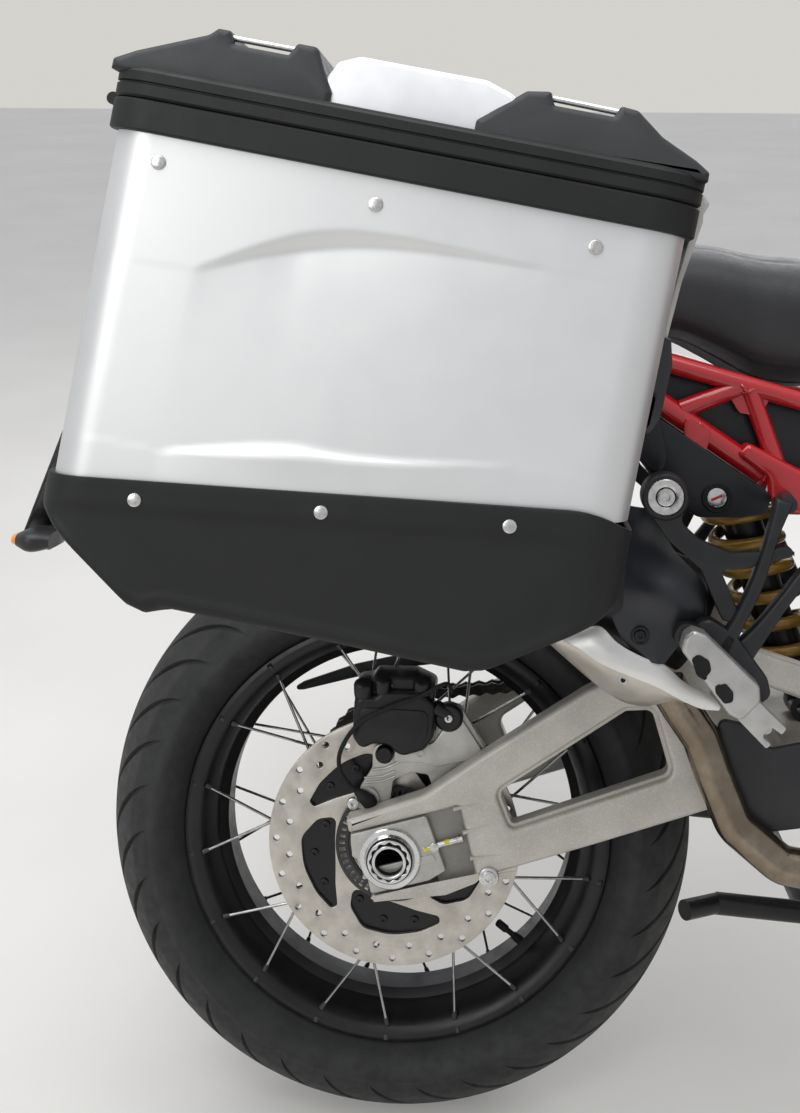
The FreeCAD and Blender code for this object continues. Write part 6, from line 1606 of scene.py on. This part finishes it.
def make_engine_trim():
    """Bolts round the covers, fins on the cylinder banks and the hoses to the radiator."""
    heads = []
    for x, z, radius, y in ((770, 62, 78, -184), (935, 60, 58, -172)):
        heads += [knob((px, y, pz), 5, 4, edge=1, hollow=2.5, steps=12) for px, pz in ring_of(9, radius, 12, (x, z))]
    for x, z, radius, y in ((930, 55, 64, 176), (800, 80, 43, 160)):
        heads += [knob((px, y, pz), 5, 4, (0, 1, 0), 1, 2.5, 12) for px, pz in ring_of(8, radius, 12, (x, z))]
    make("cover_bolts", joined(*heads), "zinc_bolt")
    fins = []
    for step in range(9):
        low = np.array((700 + step * 1.0, 205 + step * 20))
        fins.append(side_plate(corners(((low[0] - 16, low[1], 2), (low[0] + 134, low[1] + 4, 2),
                                        (low[0] + 133, low[1] + 8, 2), (low[0] - 16, low[1] + 4, 2))), -113, 113,
                               (), 0.8, 2))
        far = np.array((930 + step * 12.0, 118 + step * 22))
        fins.append(side_plate(corners(((far[0] - 20, far[1], 2), (far[0] + 124, far[1] - 34, 2),
                                        (far[0] + 126, far[1] - 30, 2), (far[0] - 18, far[1] + 4, 2))), -131, 131,
                               (), 0.8, 2))
    make("cylinder_fins", joined(*fins), "dark_casting", "root", (), 30)
    hoses = [tube([(1178, s * 120, 430), (1130, s * 132, 446), (1070, s * 96, 400), (1060, s * 90, 350)], 15, 30, 18)
             for s in (-1, 1)]
    make("radiator_hoses", joined(*hoses), "rubber", "root", (), 50)
    make("rack_pads", joined(*[slab(corners(((x - 34, y - 12, 6), (x + 34, y - 12, 6), (x + 34, y + 12, 6),
                                             (x - 34, y + 12, 6))), 646, 647.4, (), 0.5, 2)
                               for x in (-100, 10) for y in (-90, 90)]), "rubber")


make_engine_trim()

# Camera, at the photo's place and angle: yaw and pitch of its view, then roll
CAMERA = np.array((126.3, -1546.0, 571.4))
YAW, PITCH, ROLL = -0.051, 0.036, 0.014
FOCAL, CENTRE, PHOTO = 1409.75, (450.0, 350.0), (800, 1113)


def add_camera():
    """Camera whose axes come from yaw, pitch and roll, with its centre shifted as in the photo."""
    view = np.array((math.sin(YAW) * math.cos(PITCH), math.cos(YAW) * math.cos(PITCH), -math.sin(PITCH)))
    level = np.array((math.cos(YAW), -math.sin(YAW), 0.0))
    rise = np.cross(level, view)
    right = math.cos(ROLL) * level + math.sin(ROLL) * rise
    up = -math.sin(ROLL) * level + math.cos(ROLL) * rise
    axes = np.array((right, up, -view)) @ LEANED
    data = bpy.data.cameras.new("photo_camera")
    data.lens = FOCAL / PHOTO[1] * data.sensor_width
    data.shift_x = (PHOTO[0] / 2 - CENTRE[0]) / PHOTO[1]
    data.shift_y = (CENTRE[1] - PHOTO[1] / 2) / PHOTO[1]
    data.clip_start, data.clip_end = 0.05, 60
    made = bpy.data.objects.new("photo_camera", data)
    turn = Matrix(axes.T.tolist()).to_4x4()
    made.matrix_world = Matrix.Translation(leaned(CAMERA)) @ turn
    bpy.context.scene.collection.objects.link(made)
    bpy.context.scene.camera = made


def area_light(name, place, target, size, power, tint=(1.0, 1.0, 1.0)):
    """Soft square light at a place, turned to its target, both in metres in the frame."""
    data = bpy.data.lights.new(name, "AREA")
    data.shape, data.size, data.energy, data.color = "SQUARE", size, power, tint
    made = bpy.data.objects.new(name, data)
    place, target = Vector(place), Vector(target)
    made.matrix_world = Matrix.Translation(place) @ (target - place).to_track_quat("-Z", "Y").to_matrix().to_4x4()
    bpy.context.scene.collection.objects.link(made)


def add_world():
    """Pale room: seen plainly by the camera, dimmer as light."""
    world = bpy.data.worlds.new("room")
    bpy.context.scene.world = world
    world.use_nodes = True
    tree = world.node_tree
    tree.nodes.clear()
    path = node(tree, "LightPath").outputs
    seen = node(tree, "Background", {"Color": colour(BACKDROP), "Strength": 1.0}).outputs[0]
    lit = node(tree, "Background", {"Color": colour((0.93, 0.95, 1.0)), "Strength": 0.62}).outputs[0]
    chosen = node(tree, "MixShader", {0: path["Is Camera Ray"], 1: lit, 2: seen}).outputs[0]
    out = node(tree, "OutputWorld")
    tree.links.new(chosen, out.inputs["Surface"])
    return world


BACKDROP = (0.66, 0.645, 0.605)


def add_floor(height):
    """Pale plain floor under the tyres."""
    made, tree, shader = principled("pale_floor", {"Specular IOR Level": 0.25, "Emission Strength": 0.14,
                                                   "Emission Color": colour((1.0, 0.98, 0.94))})
    place = node(tree, "TexCoord").outputs["Object"]
    drift = spread(tree, noise(tree, place, 600), 0, 1)
    tree.links.new(mixed(tree, drift, colour((0.56, 0.55, 0.53)), colour((0.60, 0.59, 0.57))),
                   shader.inputs["Base Color"])
    tree.links.new(spread(tree, noise(tree, place, 80), 0.6, 0.7), shader.inputs["Roughness"])
    mesh = bpy.data.meshes.new("floor")
    mesh.from_pydata([(-14, -14, height), (14, -14, height), (14, 14, height), (-14, 14, height)], [],
                     [(0, 1, 2, 3)])
    mesh.materials.append(made)
    floor = bpy.data.objects.new("floor", mesh)
    bpy.context.scene.collection.objects.link(floor)


scene_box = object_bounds()
add_camera()
add_world()
add_floor(scene_box[0][2])
area_light("ceiling", (-0.3, -0.4, 2.6), (0.2, -0.1, 0.2), 2.6, 62)
area_light("front", (-1.6, -2.6, 1.7), (0.1, -0.2, 0.3), 1.6, 22)
area_light("far_side", (1.2, 2.8, 1.9), (0.3, 0.0, 0.4), 2.0, 34)
bpy.context.scene.view_settings.view_transform = "Standard"
